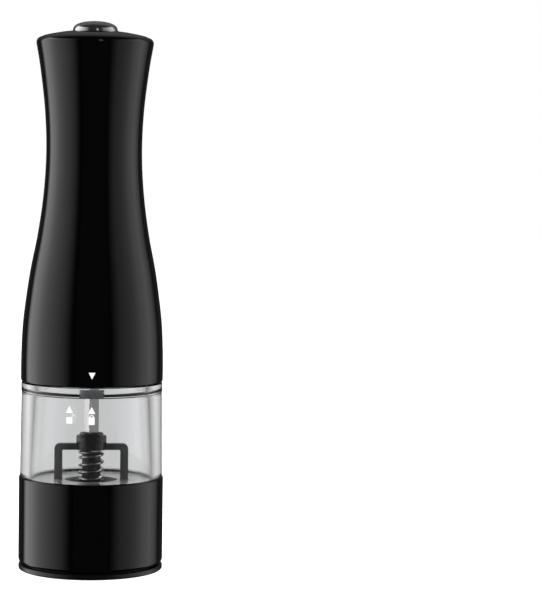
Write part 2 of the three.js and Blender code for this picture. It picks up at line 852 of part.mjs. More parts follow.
function batteryHolder() {
  const lowDisc = disc(holderRadius, holderBottom, holderBottom + holderDisc);
  const highDisc = disc(holderRadius, holderTop - holderDisc, holderTop);
  const [from, to] = [holderBottom + 1, holderTop - 1];
  const spines = [
    block([0, 0], [2 * spineSpan, spineThickness], from, to),
    block([0, 0], [spineThickness, 2 * spineSpan], from, to),
  ];
  const notches = legSides.map((side) =>
    block([0, side * (leadOffset + 1.4)], [leadNotch, 5.2], holderBottom - 1, holderTop + 1),
  );
  const span = contactSize + 2 * fit;
  const gateFoot = holderBottom + holderDisc + 0.1;
  const lowGates = legSides.map((side) =>
    block([0, side * cellOffset], [gateWidth, span], gateFoot, bayBottom + 0.2),
  );
  const highGate = block([cellOffset, 0], [span, gateWidth], bayTop - 0.2, holderTop - holderDisc - 0.1);
  return cut(joined(lowDisc, highDisc, ...spines), ...notches, ...lowGates, highGate);
}

function battery(i) {
  const flat = cellUp(i) ? bayBottom + contactSpringHeight + 0.1 : bayTop - contactSpringHeight - 0.1;
  const way = cellUp(i) ? 1 : -1;
  const [x, y] = cellPlaces[i];
  return turned(
    [
      [0, flat],
      [cellRadius - 0.3, flat],
      [cellRadius, flat + way * 0.3],
      [cellRadius, flat + way * (cellBody - 0.3)],
      [cellRadius - 0.3, flat + way * cellBody],
      [cellNubRadius, flat + way * cellBody],
      [cellNubRadius, flat + way * (cellBody + cellNub)],
      [0, flat + way * (cellBody + cellNub)],
    ],
    20,
  ).translate(x, y, 0);
}

// The conical spring under a cell's flat end, as the hollow cone that its wire fills.
function contactSpring(i) {
  const base = cellUp(i) ? bayBottom : bayTop;
  const way = cellUp(i) ? 1 : -1;
  const [x, y] = cellPlaces[i];
  return turned(
    [
      [2.6, base],
      [3.4, base],
      [2, base + way * contactSpringHeight],
      [1.2, base + way * contactSpringHeight],
    ],
    SMALL_SEGMENTS,
  ).translate(x, y, 0);
}

// A strip that joins the two cells on one side of the holder, through a gate in the spine.
function bottomContact(side) {
  const level = bayBottom - 0.1 - contactHeight;
  const length = 2 * cellOffset + contactSize;
  return block([0, side * cellOffset], [length, contactSize], level, level + contactHeight);
}

function topBridge() {
  const level = bayTop + 0.1;
  const length = 2 * cellOffset + contactSize;
  return block([cellOffset, 0], [contactSize, length], level, level + contactHeight);
}

function topTerminal(side) {
  const level = bayTop + 0.1;
  const place = [-cellOffset, side * (cellOffset + 0.6)];
  return block(place, [contactSize, contactSize], level, level + contactHeight);
}

// A lead from a motor tag, out through the cradle and up the side of the holder to the switch.
function lead(side) {
  const bend = (y, z) => new THREE.Vector3(0, side * y, z);
  const route = new THREE.CatmullRomCurve3([
    bend(9.2, motorTop + 1),
    bend(11.6, motorTop + 1.1),
    bend(leadOffset - 0.4, motorTop + 1.6),
    bend(leadOffset, holderBottom + 3),
    bend(leadOffset, holderBottom + 14),
    bend(leadOffset, holderTop - 14),
    bend(leadOffset, holderTop - 1),
    bend(leadOffset - 1.2, holderTop + 2.2),
    bend(leadOffset - 4, holderTop + 3),
    bend(switchWidth / 2 + 0.6, holderTop + 3),
  ]);
  return wireAlong(route, leadRadius, 22, 6);
}

// ---- Switch and button ----------------------------------------------------------------------------
function switchBody() {
  const body = block([0, 0], [switchWidth, switchWidth], switchBottom, switchTop);
  const well = switchTop + plungerRise - plungerLength - buttonTravel - 0.3;
  return cut(body, disc(plungerRadius + fit, well, switchTop + 1, SMALL_SEGMENTS));
}

function switchPlunger() {
  const top = switchTop + plungerRise;
  return turned(
    [
      [0, top - plungerLength],
      [plungerRadius, top - plungerLength],
      [plungerRadius, top - 0.4],
      [plungerRadius - 0.4, top],
      [0, top],
    ],
    SMALL_SEGMENTS,
  );
}

function pushButton() {
  return turned(
    [
      [0, stemBottom],
      [buttonStem, stemBottom],
      [buttonStem, flangeFloor],
      [buttonFlange, flangeFloor],
      [buttonFlange, flangeCeiling],
      [buttonRadius, flangeCeiling],
      [buttonRadius, buttonTop - 4.3],
      [buttonRadius - 0.1, buttonTop - 3.2],
      [buttonRadius - 0.5, buttonTop - 2.3],
      [buttonRadius - 1.4, buttonTop - 1.45],
      [buttonRadius - 3.1, buttonTop - 0.72],
      [buttonRadius - 5.8, buttonTop - 0.2],
      [0, buttonTop],
    ],
    SHELL_SEGMENTS,
  );
}

function buttonSpring() {
  return coil(buttonCoil, buttonWire, guideBottom + guideFloor + 0.1, flangeFloor - 0.1, buttonTurns);
}

function buttonGuide() {
  const bore = buttonFlange + fit;
  return turned([
    [buttonStem + fit, guideBottom],
    [bore + guideWall, guideBottom],
    [bore + guideWall, guideTop],
    [bore, guideTop],
    [bore, guideBottom + guideFloor],
    [buttonStem + fit, guideBottom + guideFloor],
  ]);
}

// The side's outline as [radius, height] points on a smooth curve, from the foot up.
function shellSide() {
  const points = sideShape.map(([up, out]) => {
    const radius = shellWaistRadius + out * (shellFootRadius - shellWaistRadius);
    return new THREE.Vector2(radius, shellBottom + up * (sideTop - shellBottom));
  });
  const curve = new THREE.SplineCurve(points);
  return curve.getPoints(2 * (points.length - 1)).map((point) => [point.x, point.y]);
}

function upperShell() {
  const side = shellSide();
  const topRadius = side.at(-1)[0];
  const domeEdge = topRadius - 1.28;
  const mouth = buttonRadius + buttonEdge;
  const dome = (radius) => shellRim + domeRise - domeRise * (radius / domeEdge) ** 2;
  const inside = side.filter((_, i) => i % 3 === 0).map(([radius, height]) => [radius - shellWall, height]);
  return turned(
    [
      [shellFootRadius - shellWall, shellBottom],
      ...rounding(shellFootRadius - shellFootRound, shellBottom + shellFootRound, shellFootRound, -90, 0),
      ...side,
      [topRadius - 0.25, shellRim - shellTopRound / 2],
      [domeEdge, shellRim],
      ...[0.8 * domeEdge, 0.6 * domeEdge, mouth].map((radius) => [radius, dome(radius)]),
      [mouth, shellCeiling],
      [domeEdge - shellWall, shellCeiling],
      [domeEdge - shellWall + 0.6, shellCeiling - 2],
      ...inside.reverse(),
    ],
    SHELL_SEGMENTS,
  );
}

// ---- Assembly ---------------------------------------------------------------------------------------
const mill = new THREE.Group();

function add(name, geometry, material) {
  const mesh = new THREE.Mesh(geometry, material);
  mesh.name = name;
  mill.add(mesh);
}

add("lid", lid(), satinBlack());
add("lower_sleeve", lowerSleeve(), glossBlack());
add("container", container(), clearPlastic());
add("container_floor", containerFloor(), clearPlastic());
add("grinder_housing", grinderHousing(), satinBlack());
add("stator_ring", statorRing(), ceramic());
add("retaining_ring", retainingRing(), polishedSteel());
add("rotor_cone", rotorCone(), ceramic());
add("rotor_stem", rotorStem(), satinBlack());
add("grinder_spring", grinderSpring(), polishedSteel());
add("drive_shaft", driveShaft(), polishedSteel());
add("adjust_knob", adjustKnob(), satinBlack());
add("grinder_bridge", grinderBridge(), satinBlack());
add("bridge_screw_left", bridgeScrew(-1), polishedSteel());
add("bridge_screw_right", bridgeScrew(1), polishedSteel());
add("seal_ring", sealRing(), silicone());
add("chassis_base", chassisBase(), satinBlack());
add("ring_gear", ringGear(), whitePlastic());
add("gearbox_cover", gearboxCover(), satinBlack());
add("carrier_1", carrierOne(), whitePlastic());
add("carrier_2", carrierTwo(), whitePlastic());
add("output_coupler", outputCoupler(), greyPlastic());
thirds.forEach((angle, i) => {
  add(`planet_1_${"abc"[i]}`, planet(angle, planet1Bottom), whitePlastic());
  add(`planet_2_${"abc"[i]}`, planet(angle, planet2Bottom), whitePlastic());
});
earAngles.forEach((angle, i) => add(`gearbox_screw_${i + 1}`, gearboxScrew(angle), polishedSteel()));
add("motor_pinion", motorPinion(), brass());
add("motor_shaft", motorShaft(), polishedSteel());
add("motor_can", motorCan(), polishedSteel());
add("motor_end_bell", motorEndBell(), whitePlastic());
add("motor_cradle", motorCradle(), satinBlack());
add("battery_holder", batteryHolder(), satinBlack());
cellPlaces.forEach((_, i) => {
  add(`battery_${i + 1}`, battery(i), cellSleeve());
  add(`contact_spring_${i + 1}`, contactSpring(i), polishedSteel());
});
add("bottom_contact_front", bottomContact(-1), polishedSteel());
add("bottom_contact_back", bottomContact(1), polishedSteel());
add("top_contact_bridge", topBridge(), polishedSteel());
add("top_terminal_front", topTerminal(-1), polishedSteel());
add("top_terminal_back", topTerminal(1), polishedSteel());
add("lead_red", lead(1), redLead());
add("lead_black", lead(-1), blackLead());
add("switch_body", switchBody(), satinBlack());
add("switch_plunger", switchPlunger(), whitePlastic());
add("push_button", pushButton(), polishedSteel());
add("button_spring", buttonSpring(), polishedSteel());
add("button_guide", buttonGuide(), satinBlack());
add("upper_shell", upperShell(), glossBlack());

export default mill;
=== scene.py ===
"""Visible pieces, finishes and studio of a battery-driven pepper mill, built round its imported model."""

import json
import math

import bmesh
import bpy
from mathutils import Matrix, Vector


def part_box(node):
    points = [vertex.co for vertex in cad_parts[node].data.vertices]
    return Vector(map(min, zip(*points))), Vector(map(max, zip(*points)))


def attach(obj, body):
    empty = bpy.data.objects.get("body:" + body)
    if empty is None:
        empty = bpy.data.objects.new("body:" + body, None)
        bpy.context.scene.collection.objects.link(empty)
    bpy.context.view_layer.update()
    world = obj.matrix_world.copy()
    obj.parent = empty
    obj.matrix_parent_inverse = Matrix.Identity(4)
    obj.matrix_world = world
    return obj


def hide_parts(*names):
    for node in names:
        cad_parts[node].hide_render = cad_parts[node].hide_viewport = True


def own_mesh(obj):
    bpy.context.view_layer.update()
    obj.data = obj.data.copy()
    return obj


bl_info = {
    "name": "Pepper Mill",
    "version": (1, 0, 0),
    "blender": (4, 5, 0),
    "location": "View3D > Sidebar > Mill",
    "description": "Builds the visible pieces, the finishes and the studio of a pepper mill",
    "category": "Object",
}

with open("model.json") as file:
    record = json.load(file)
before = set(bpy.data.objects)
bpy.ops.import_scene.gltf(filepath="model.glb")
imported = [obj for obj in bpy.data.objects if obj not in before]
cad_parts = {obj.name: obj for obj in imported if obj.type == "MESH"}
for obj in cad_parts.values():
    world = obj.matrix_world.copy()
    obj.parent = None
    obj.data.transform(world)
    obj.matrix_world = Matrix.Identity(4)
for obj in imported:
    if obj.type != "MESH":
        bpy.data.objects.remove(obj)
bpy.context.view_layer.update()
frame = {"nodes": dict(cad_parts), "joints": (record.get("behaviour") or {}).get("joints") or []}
MM = 0.001
FULL_TURN = 2 * math.pi
SHELL_STEPS = 144
ROUND_STEPS = 72
SMALL_STEPS = 32
SHARP = 35  # degrees from which an edge is shaded and rounded as a corner
SECTION_SIDE = Vector((0, -1, 0))
FINE_ROUNDING = 0.15 * MM
BRUSHING = 9000  # rings per metre on the button
WALL_CROSSINGS = 3.5  # more passes than this take a ray through both walls of the container

# The waisted side of the shell: height and radius in millimetres at its turning points.
SHELL_SIDE = (
    (75.9, 28.5),
    (82, 28.52),
    (88.5, 28.4),
    (95.7, 28.1),
    (103.8, 27.4),
    (119.9, 25.15),
    (136, 22.05),
    (152.1, 19.95),
    (168.3, 19.12),
    (184.4, 19.75),
    (200.5, 21.62),
    (210.6, 23.3),
)
SIDE_STEPS = 5

# The container: its side leans in from the sleeve to the groove under its flange.
CONTAINER_WIDE = 28.6 * MM
CONTAINER_NARROW = 28.2 * MM
CONTAINER_RISE = 33.2 * MM
CONTAINER_STEP = 0.3 * MM  # from the sleeve's top to the container's shoulder
INK_CLEARANCE = 0.005 * MM
MARK_LEVEL = 27.8 * MM  # of the arrows' flat side above the shoulder
FLOOR_HOLE = 10.4 * MM

# The studio: light panels as (degrees from the camera's side, radiance) stops, in metres and watts.
LEFT_PANEL = (
    (28, 0.0), (35, 0.06), (47, 0.42), (60, 0.75), (74, 1.05), (89, 1.4), (106, 2.0), (123, 1.8), (134, 0.05)
)
RIGHT_PANEL = (
    (28, 0.0), (35, 0.1), (47, 0.34), (60, 0.45), (74, 0.65), (89, 1.0), (106, 1.05), (123, 0.4), (134, 0.02)
)
FRONT_STRIP = ((6, 0.0), (8, 1.1), (13, 1.1), (15, 0.0))
PANEL_RADIUS, PANEL_FOOT, PANEL_TOP = 1.4, -0.9, 1.3
STRIP_RADIUS, STRIP_FOOT, STRIP_TOP = 0.15, 0.012, 0.07  # foot and top above the button
TOP_LIGHTS = (
    ("top_left", (-0.35, 0.45, 0.85), 0.35, 5.0),
    ("top_right", (0.4, 0.45, 0.8), 0.3, 3.0),
)
TOP_LIGHT_AIM = Vector((0, 0, 0.2))
WORLD_AROUND, WORLD_OVERHEAD, WORLD_THROUGH, WORLD_IN_WALL = 0.04, 0.14, 0.66, 0.15
FLOOR_GLOW = 1.1
CAMERA_LENS = 140.3
CAMERA_PLACE = (0, -0.94, 0.175)
CAMERA_TURN = (-4.368, 90 - 3.992, 0.86)  # yaw, pitch and roll in degrees


def low(node):
    """Height of a CAD node's underside."""
    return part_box(node)[0].z


def high(node):
    """Height of a CAD node's top."""
    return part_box(node)[1].z


def reach(node):
    """Outer radius of a round CAD node on the mill's axis."""
    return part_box(node)[1].x


def joint_of(name):
    """A joint of the frame by its name."""
    return next(joint for joint in frame["joints"] if joint["name"] == name)


# ---- Settings -----------------------------------------------------------------------------------


def length(name, description, default):
    return bpy.props.FloatProperty(
        name=name, description=description, default=default, min=0.0, unit="LENGTH", precision=5
    )


def colour(name, description, default):
    return bpy.props.FloatVectorProperty(
        name=name, description=description, default=default, size=3, min=0.0, max=1.0, subtype="COLOR"
    )


class MillSizes(bpy.types.PropertyGroup):
    """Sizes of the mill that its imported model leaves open"""

    shell_wall: length("Shell wall", "Thickness of the upper shell", 1.8 * MM)
    shell_rim: length("Shell rim", "Rounding where the shell's side meets its dome", 1.7 * MM)
    edge: length("Moulded edge", "Rounding on the edges of moulded pieces", 0.25 * MM)
    fine_edge: length("Machined edge", "Rounding on gears, plates and metal pieces", 0.08 * MM)
    mark_height: length("Mark height", "Height of the printed arrows and padlocks", 2.9 * MM)
    mark_film: length("Ink film", "Thickness of the printed marks", 0.03 * MM)
    spring_wire: length("Spring wire", "Thickness of the grinder spring's wire", 1.25 * MM)
    button_wire: length("Button wire", "Thickness of the button spring's wire", 0.8 * MM)
    contact_wire: length("Contact wire", "Thickness of the battery springs' wire", 0.7 * MM)
    backdrop: length("Floor width", "Width of the pale floor", 6.0)


class MillColours(bpy.types.PropertyGroup):
    """Colours of the mill's finishes"""

    body: colour("Body", "Gloss shell and sleeve", (0.0010, 0.0010, 0.0011))
    inner: colour("Inner parts", "Satin black mouldings", (0.011, 0.011, 0.012))
    clear: colour("Container", "Clear plastic", (0.97, 0.975, 0.98))
    # Painted shade that the container's colour takes where its wall is seen edge on.
    painted_edge_shade: colour("Container edge", "Clear plastic where its wall is seen edge on", (0.3, 0.31, 0.32))
    button: colour("Button", "Brushed steel of the push button", (0.5, 0.49, 0.48))
    steel: colour("Steel", "Shaft, springs and screws", (0.62, 0.61, 0.6))
    ceramic: colour("Ceramic", "Grinder ring and cone", (0.72, 0.66, 0.55))
    acetal: colour("Gears", "White acetal gears", (0.78, 0.77, 0.72))
    coupler: colour("Coupling sleeve", "Grey acetal sleeve on the shaft", (0.3, 0.31, 0.32))
    brass: colour("Pinion", "Brass motor pinion", (0.68, 0.47, 0.2))
    silicone: colour("Seal", "Silicone seal ring", (0.62, 0.62, 0.6))
    cell: colour("Cells", "Battery sleeve", (0.02, 0.13, 0.075))
    lead_plus: colour("Red lead", "Insulation of the plus lead", (0.5, 0.015, 0.012))
    lead_minus: colour("Black lead", "Insulation of the minus lead", (0.01, 0.01, 0.01))
    # The print colour is also the colour of the marks' painted glow.
    ink: colour("Print", "Ink of the lock marks", (0.9, 0.9, 0.9))
    floor: colour("Floor", "Studio floor", (0.86, 0.86, 0.86))


def sizes():
    return bpy.context.scene.mill_sizes


def colours():
    return bpy.context.scene.mill_colours


# ---- Meshes ---------------------------------------------------------------------------------------


def piece(bm, name, material, smooth=True, weighted=True):
    """Turns a bmesh into an object at the origin, with one material."""
    bmesh.ops.remove_doubles(bm, verts=bm.verts, dist=0.002 * MM)
    bmesh.ops.recalc_face_normals(bm, faces=bm.faces)
    for face in bm.faces:
        face.smooth = smooth
    mesh = bpy.data.meshes.new(name)
    bm.to_mesh(mesh)
    bm.free()
    mesh.set_sharp_from_angle(angle=math.radians(SHARP))
    made = bpy.data.objects.new(name, mesh)
    bpy.context.scene.collection.objects.link(made)
    mesh.materials.append(material)
    if smooth and weighted:
        shading = made.modifiers.new("Shading", "WEIGHTED_NORMAL")
        shading.keep_sharp = True
    return made


def fit_out(made, body, slot, *nodes):
    """Rides a piece on its body and hides the CAD nodes it stands for."""
    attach(made, body)
    if nodes:
        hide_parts(*nodes)
    return made


def round_corner(bm, vert, size, segments=4):
    """Rounds one corner of an outline."""
    if size > 0:
        bmesh.ops.bevel(
            bm, geom=[vert], offset=size, offset_type="OFFSET", segments=segments,
            profile=0.5, affect="VERTICES", clamp_overlap=True, material=-1,
        )


def outline(bm, corners):
    """Draws (radius, height, rounding) corners in the XZ plane. It closes unless it starts on the axis."""
    verts = [bm.verts.new((corner[0], 0, corner[1])) for corner in corners]
    pairs = list(zip(verts, verts[1:]))
    if corners[0][0] > 0:
        pairs.append((verts[-1], verts[0]))
    for pair in pairs:
        bm.edges.new(pair)
    for vert, corner in zip(verts, corners):
        if len(corner) > 2:
            round_corner(bm, vert, corner[2])


def spin_round(bm, steps, centre=(0, 0)):
    """Spins everything in a bmesh once round a vertical axis."""
    bmesh.ops.spin(
        bm, geom=bm.verts[:] + bm.edges[:], cent=(*centre, 0), axis=(0, 0, 1),
        angle=FULL_TURN, steps=steps, use_merge=True, use_duplicate=False,
    )
    bmesh.ops.remove_doubles(bm, verts=bm.verts, dist=0.002 * MM)
    bmesh.ops.dissolve_degenerate(bm, edges=bm.edges, dist=0.001 * MM)


def turned(corners, steps=ROUND_STEPS):
    """A turned bmesh from the corners of its outline."""
    bm = bmesh.new()
    outline(bm, corners)
    spin_round(bm, steps)
    return bm


def merged(node):
    """A bmesh copy of a CAD node with its triangles joined up."""
    bm = bmesh.new()
    bm.from_mesh(frame["nodes"][node].data)
    bmesh.ops.remove_doubles(bm, verts=bm.verts, dist=0.001 * MM)
    return bm


def respun(node, steps=ROUND_STEPS, rounding=0.0, facing=0.0, centre=(0, 0)):
    """A turned CAD node made again with a fine round surface, from its own section on one side.

    facing is the angle of that side and centre is the piece's own axis."""
    bm = merged(node)
    bmesh.ops.translate(bm, verts=bm.verts, vec=(-centre[0], -centre[1], 0))
    bmesh.ops.rotate(bm, verts=bm.verts, cent=(0, 0, 0), matrix=Matrix.Rotation(-facing, 3, "Z"))
    bmesh.ops.bisect_plane(
        bm, geom=bm.verts[:] + bm.edges[:] + bm.faces[:], dist=0.001 * MM,
        plane_co=(0, 0, 0), plane_no=SECTION_SIDE, clear_outer=True, clear_inner=True,
    )
    section = bmesh.new()
    copies = {}
    near = 0.01 * MM
    for edge in bm.edges:
        ends = [vert.co for vert in edge.verts]
        if all(abs(end.y) < near and end.x > -near for end in ends):
            keys = [(round(end.x / near), round(end.z / near)) for end in ends]
            for key, end in zip(keys, ends):
                if key not in copies:
                    copies[key] = section.verts.new((max(end.x, 0), 0, end.z))
            pair = [copies[key] for key in keys]
            if pair[0] != pair[1] and section.edges.get(pair) is None:
                section.edges.new(pair)
    bm.free()
    on_axis = [edge for edge in section.edges if all(vert.co.x < near for vert in edge.verts)]
    bmesh.ops.delete(section, geom=on_axis, context="EDGES")
    bmesh.ops.dissolve_limit(
        section, angle_limit=math.radians(1), verts=section.verts, edges=section.edges
    )
    for vert in [vert for vert in section.verts if len(vert.link_edges) == 2]:
        arms = [edge.other_vert(vert).co - vert.co for edge in vert.link_edges]
        if arms[0].angle(arms[1]) < math.radians(150):
            round_corner(section, vert, min(rounding, *(arm.length * 0.4 for arm in arms)), 3)
    spin_round(section, steps)
    bmesh.ops.rotate(section, verts=section.verts, cent=(0, 0, 0), matrix=Matrix.Rotation(facing, 3, "Z"))
    bmesh.ops.translate(section, verts=section.verts, vec=(*centre, 0))
    return section


def ring_of_wire(bm, radius, wire, height, sides=12):
    """Places the round section of a wire at a radius, upright in the XZ plane."""
    made = bmesh.ops.create_circle(bm, cap_ends=False, radius=wire / 2, segments=sides)
    turn = Matrix.Rotation(math.pi / 2, 4, "X")
    bmesh.ops.transform(bm, matrix=Matrix.Translation((radius, 0, height)) @ turn, verts=made["verts"])
    return made["verts"]


def coil(radius, wire, start, stop, turns, closed=0.75, steps=28):
    """A compression spring with closed ends, as a bmesh: the wire's section is screwed up in three stages."""
    bm = bmesh.new()
    verts = ring_of_wire(bm, radius, wire, start + wire / 2)
    geom = verts + list({edge for vert in verts for edge in vert.link_edges})
    rise = stop - start - wire
    end_rise = closed * wire
    stages = [(closed, end_rise), (turns - 2 * closed, rise - 2 * end_rise), (closed, end_rise)]
    for stage_turns, stage_rise in stages:
        count = round(stage_turns * steps)
        made = bmesh.ops.spin(
            bm, geom=geom, cent=(0, 0, 0), axis=(0, 0, 1), dvec=(0, 0, stage_rise / count),
            angle=FULL_TURN * stage_turns, steps=count, use_merge=False, use_duplicate=False,
        )
        geom = made["geom_last"]
    bmesh.ops.holes_fill(bm, edges=bm.edges, sides=0)
    return bm


def add_block(bm, size, centre, turn=0.0):
    """Adds a box with the given size about a point, turned about the mill's axis."""
    made = bmesh.ops.create_cube(bm, size=1)
    place = Matrix.Rotation(turn, 4, "Z") @ Matrix.Translation(centre) @ Matrix.Diagonal((*size, 1))
    bmesh.ops.transform(bm, matrix=place, verts=made["verts"])


def combined(made, tools, operation):
    """Joins bmesh tools to a piece, or cuts them from it, with the exact boolean."""
    for tool in tools:
        bmesh.ops.recalc_face_normals(tool, faces=tool.faces)
        mesh = bpy.data.meshes.new("tool")
        tool.to_mesh(mesh)
        tool.free()
        helper = bpy.data.objects.new("tool", mesh)
        bpy.context.scene.collection.objects.link(helper)
        step = made.modifiers.new("Shape", "BOOLEAN")
        step.operation = operation
        step.solver = "EXACT"
        step.object = helper
        made.modifiers.move(len(made.modifiers) - 1, 0)
        bpy.context.view_layer.update()
        with bpy.context.temp_override(object=made, active_object=made, selected_objects=[made]):
            bpy.ops.object.modifier_apply(modifier=step.name)
        bpy.data.objects.remove(helper)
        bpy.data.meshes.remove(mesh)
    return made


def soften(made, width, segments=2):
    """Rounds a piece's sharp edges, before its shading is evened out."""
    edge = made.modifiers.new("Edges", "BEVEL")
    edge.width = width
    edge.segments = segments
    edge.limit_method = "ANGLE"
    edge.angle_limit = math.radians(SHARP)
    made.modifiers.move(len(made.modifiers) - 1, 0)
    return made


def refined(node, name, material, width):
    """A smooth-shaded copy of a CAD node with joined faces and rounded edges."""
    bm = merged(node)
    bmesh.ops.dissolve_limit(bm, angle_limit=math.radians(0.2), verts=bm.verts, edges=bm.edges)
    return soften(piece(bm, name, material), width)


# ---- Finishes -------------------------------------------------------------------------------------


def named_socket(sockets, key):
    """A socket by its place, its identifier, or its name with _ for a space."""
    if isinstance(key, int):
        return sockets[key]
    return next(socket for socket in sockets if key in (socket.identifier, socket.name.replace(" ", "_")))


class Value:
    """A number in a node tree, so that shader maths reads as a Python expression."""

    def __init__(self, nodes, socket):
        self.nodes = nodes
        self.socket = socket

    def output(self, name):
        """Another output of the same node."""
        return Value(self.nodes, named_socket(self.socket.node.outputs, name))

    def _math(operation, reflected=False):
        """An operator method that adds a Math node."""

        def method(self, *others):
            values = (*others, self) if reflected else (self, *others)
            return self.nodes.node("ShaderNodeMath", {"operation": operation}, *values)

        return method

    __add__ = _math("ADD")
    __radd__ = _math("ADD", reflected=True)
    __sub__ = _math("SUBTRACT")
    __rsub__ = _math("SUBTRACT", reflected=True)
    __mul__ = _math("MULTIPLY")
    __rmul__ = _math("MULTIPLY", reflected=True)
    __truediv__ = _math("DIVIDE")
    __rtruediv__ = _math("DIVIDE", reflected=True)
    __gt__ = _math("GREATER_THAN")
    __lt__ = _math("LESS_THAN")
    __pow__ = _math("POWER")
    __abs__ = _math("ABSOLUTE")


class Nodes:
    """A node tree under construction."""

    def __init__(self, owner):
        owner.use_nodes = True
        self.tree = owner.node_tree

    def node(self, kind, settings=None, *values, output=0, **links):
        """Adds a node: its settings first, then its inputs by order or by name."""
        made = self.tree.nodes.new(kind)
        for key, setting in (settings or {}).items():
            if key == "stops":
                self._stops(made.color_ramp, setting)
            else:
                setattr(made, key, setting)
        for slot, value in [*enumerate(values), *links.items()]:
            self._put(named_socket(made.inputs, slot), value)
        return Value(self, named_socket(made.outputs, output)) if len(made.outputs) else None

    def _put(self, socket, value):
        if isinstance(value, Value):
            self.tree.links.new(value.socket, socket)
        elif hasattr(value, "__len__") and len(value) == 3 and socket.type == "RGBA":
            socket.default_value = (*value, 1)
        else:
            socket.default_value = value

    @staticmethod
    def _stops(ramp, stops):
        while len(ramp.elements) < len(stops):
            ramp.elements.new(1)
        for element, (position, shade) in zip(ramp.elements, stops):
            element.position = position
            element.color = (*shade, 1) if hasattr(shade, "__len__") else (shade, shade, shade, 1)

    def place(self, stretch=(1, 1, 1)):
        """Object coordinates, stretched for patterns that run one way."""
        coordinates = self.node("ShaderNodeTexCoord", output="Object")
        return self.node("ShaderNodeMapping", None, coordinates, Scale=stretch)

    def axes(self, vector):
        """The three numbers of a vector."""
        split = self.node("ShaderNodeSeparateXYZ", None, vector)
        return [split.output(axis) for axis in "XYZ"]

    def noise(self, scale, detail=3.0, stretch=(1, 1, 1), roughness=0.5):
        """Smooth noise, scale in features per metre."""
        place = self.place(stretch)
        return self.node(
            "ShaderNodeTexNoise", None, Vector=place, Scale=scale, Detail=detail, Roughness=roughness
        )

    def between(self, value, bottom, top, first=0.0, last=1.0):
        """Moves a number from one range to another, held at its ends."""
        return self.node("ShaderNodeMapRange", {"clamp": True}, value, bottom, top, first, last)

    def blend(self, factor, first, second):
        """Mixes two colours."""
        return self.node(
            "ShaderNodeMix", {"data_type": "RGBA"}, factor,
            A_Color=first, B_Color=second, output="Result_Color",
        )

    def clear_path(self):
        """Tells if a ray came out of clear plastic, was turned back by gloss, and crossed two whole walls."""
        path = self.node("ShaderNodeLightPath", output="Is_Transmission_Ray")
        return path, path.output("Glossy_Depth") > 0.5, path.output("Transmission_Depth") > WALL_CROSSINGS


class Finish(Nodes):
    """A material under construction: one Principled shader and the nodes that feed it."""

    def __init__(self, name, **inputs):
        self.material = bpy.data.materials.new(f"{name}_finish")
        super().__init__(self.material)
        self.shader = self.tree.nodes["Principled BSDF"]
        self.feed(**inputs)

    def feed(self, **inputs):
        """Sets or links inputs of the Principled shader, with _ for a space in their names."""
        for name, value in inputs.items():
            self._put(named_socket(self.shader.inputs, name), value)
        return self

    def bump(self, height, distance, strength=1.0):
        """Raises the surface by a height times a distance in metres."""
        normal = self.node("ShaderNodeBump", None, Strength=strength, Distance=distance, Height=height)
        return self.feed(Normal=normal)


def gloss_black():
    """Deep gloss moulding: faint waviness and a little haze in patches, as a polished mould leaves."""
    finish = Finish("gloss_black", Base_Color=colours().body, IOR=1.5)
    haze = finish.between(finish.noise(45, 4), 0.35, 0.75)
    finish.feed(Roughness=0.045 + 0.03 * haze)
    finish.bump(finish.noise(130, 2), 0.012 * MM, 0.3)
    return finish.material


def satin_black(name="satin_black", shade=None, roughness=0.34, grain=0.02):
    """Fine-grained black moulding with slight colour drift."""
    shade = tuple(shade or colours().inner)
    finish = Finish(name, IOR=1.5)
    drift = finish.noise(70, 3)
    finish.feed(Base_Color=finish.blend(drift, shade, tuple(1.5 * part for part in shade)))
    finish.feed(Roughness=roughness - 0.04 + 0.1 * finish.between(finish.noise(260, 2), 0.3, 0.7))
    finish.bump(finish.noise(2600, 2), grain * MM, 0.5)
    return finish.material


def clear_plastic():
    """Clear moulding with hairline haze, and a painted shade in its colour where its wall is seen edge on."""
    finish = Finish("clear_plastic", IOR=1.49, Transmission_Weight=1.0)
    # Painted shade: the colour darkens towards the edge shade as the wall turns edge on, standing in for
    # light lost there.
    facing = finish.node("ShaderNodeLayerWeight", None, 0.5, output="Facing")
    depth = finish.between(facing, 0.6, 0.9)
    finish.feed(Base_Color=finish.blend(depth, tuple(colours().clear), colours().painted_edge_shade))
    finish.feed(Roughness=0.012 + 0.03 * finish.between(finish.noise(160, 4), 0.55, 0.85))
    return finish.material


def frosted_plastic():
    """The container's floor: clear moulding with an etched face."""
    finish = Finish("frosted_plastic", IOR=1.49, Transmission_Weight=0.35)
    etch = finish.between(finish.noise(900, 4), 0.3, 0.7)
    finish.feed(Base_Color=finish.blend(etch, (0.8, 0.8, 0.8), (0.86, 0.86, 0.86)))
    finish.feed(Roughness=0.12 + 0.06 * etch)
    finish.bump(etch, 0.002 * MM, 0.3)
    return finish.material


def brushed_steel():
    """Steel brushed in rings round the mill's axis."""
    finish = Finish("brushed_steel", Base_Color=colours().button, Metallic=1.0)
    x, y, height = finish.axes(finish.place())
    radius = (x * x + y * y) ** 0.5
    section = finish.node("ShaderNodeCombineXYZ", None, radius * BRUSHING, 0.0, height * BRUSHING)
    lines = finish.node("ShaderNodeTexNoise", None, Vector=section, Scale=1.0, Detail=2.0)
    finish.feed(Roughness=0.1 + 0.08 * lines)
    finish.bump(lines, 0.003 * MM, 0.4)
    return finish.material


def drawn_steel(name="drawn_steel", roughness=0.2, shade=1.0):
    """Steel with fine drawing lines along the mill's axis."""
    tone = tuple(shade * part for part in colours().steel)
    finish = Finish(name, Metallic=1.0)
    lines = finish.noise(900, 3, stretch=(1, 1, 0.02))
    finish.feed(Base_Color=finish.blend(lines, tuple(0.86 * part for part in tone), tone))
    finish.feed(Roughness=roughness - 0.05 + 0.14 * lines)
    finish.bump(lines, 0.004 * MM, 0.4)
    return finish.material


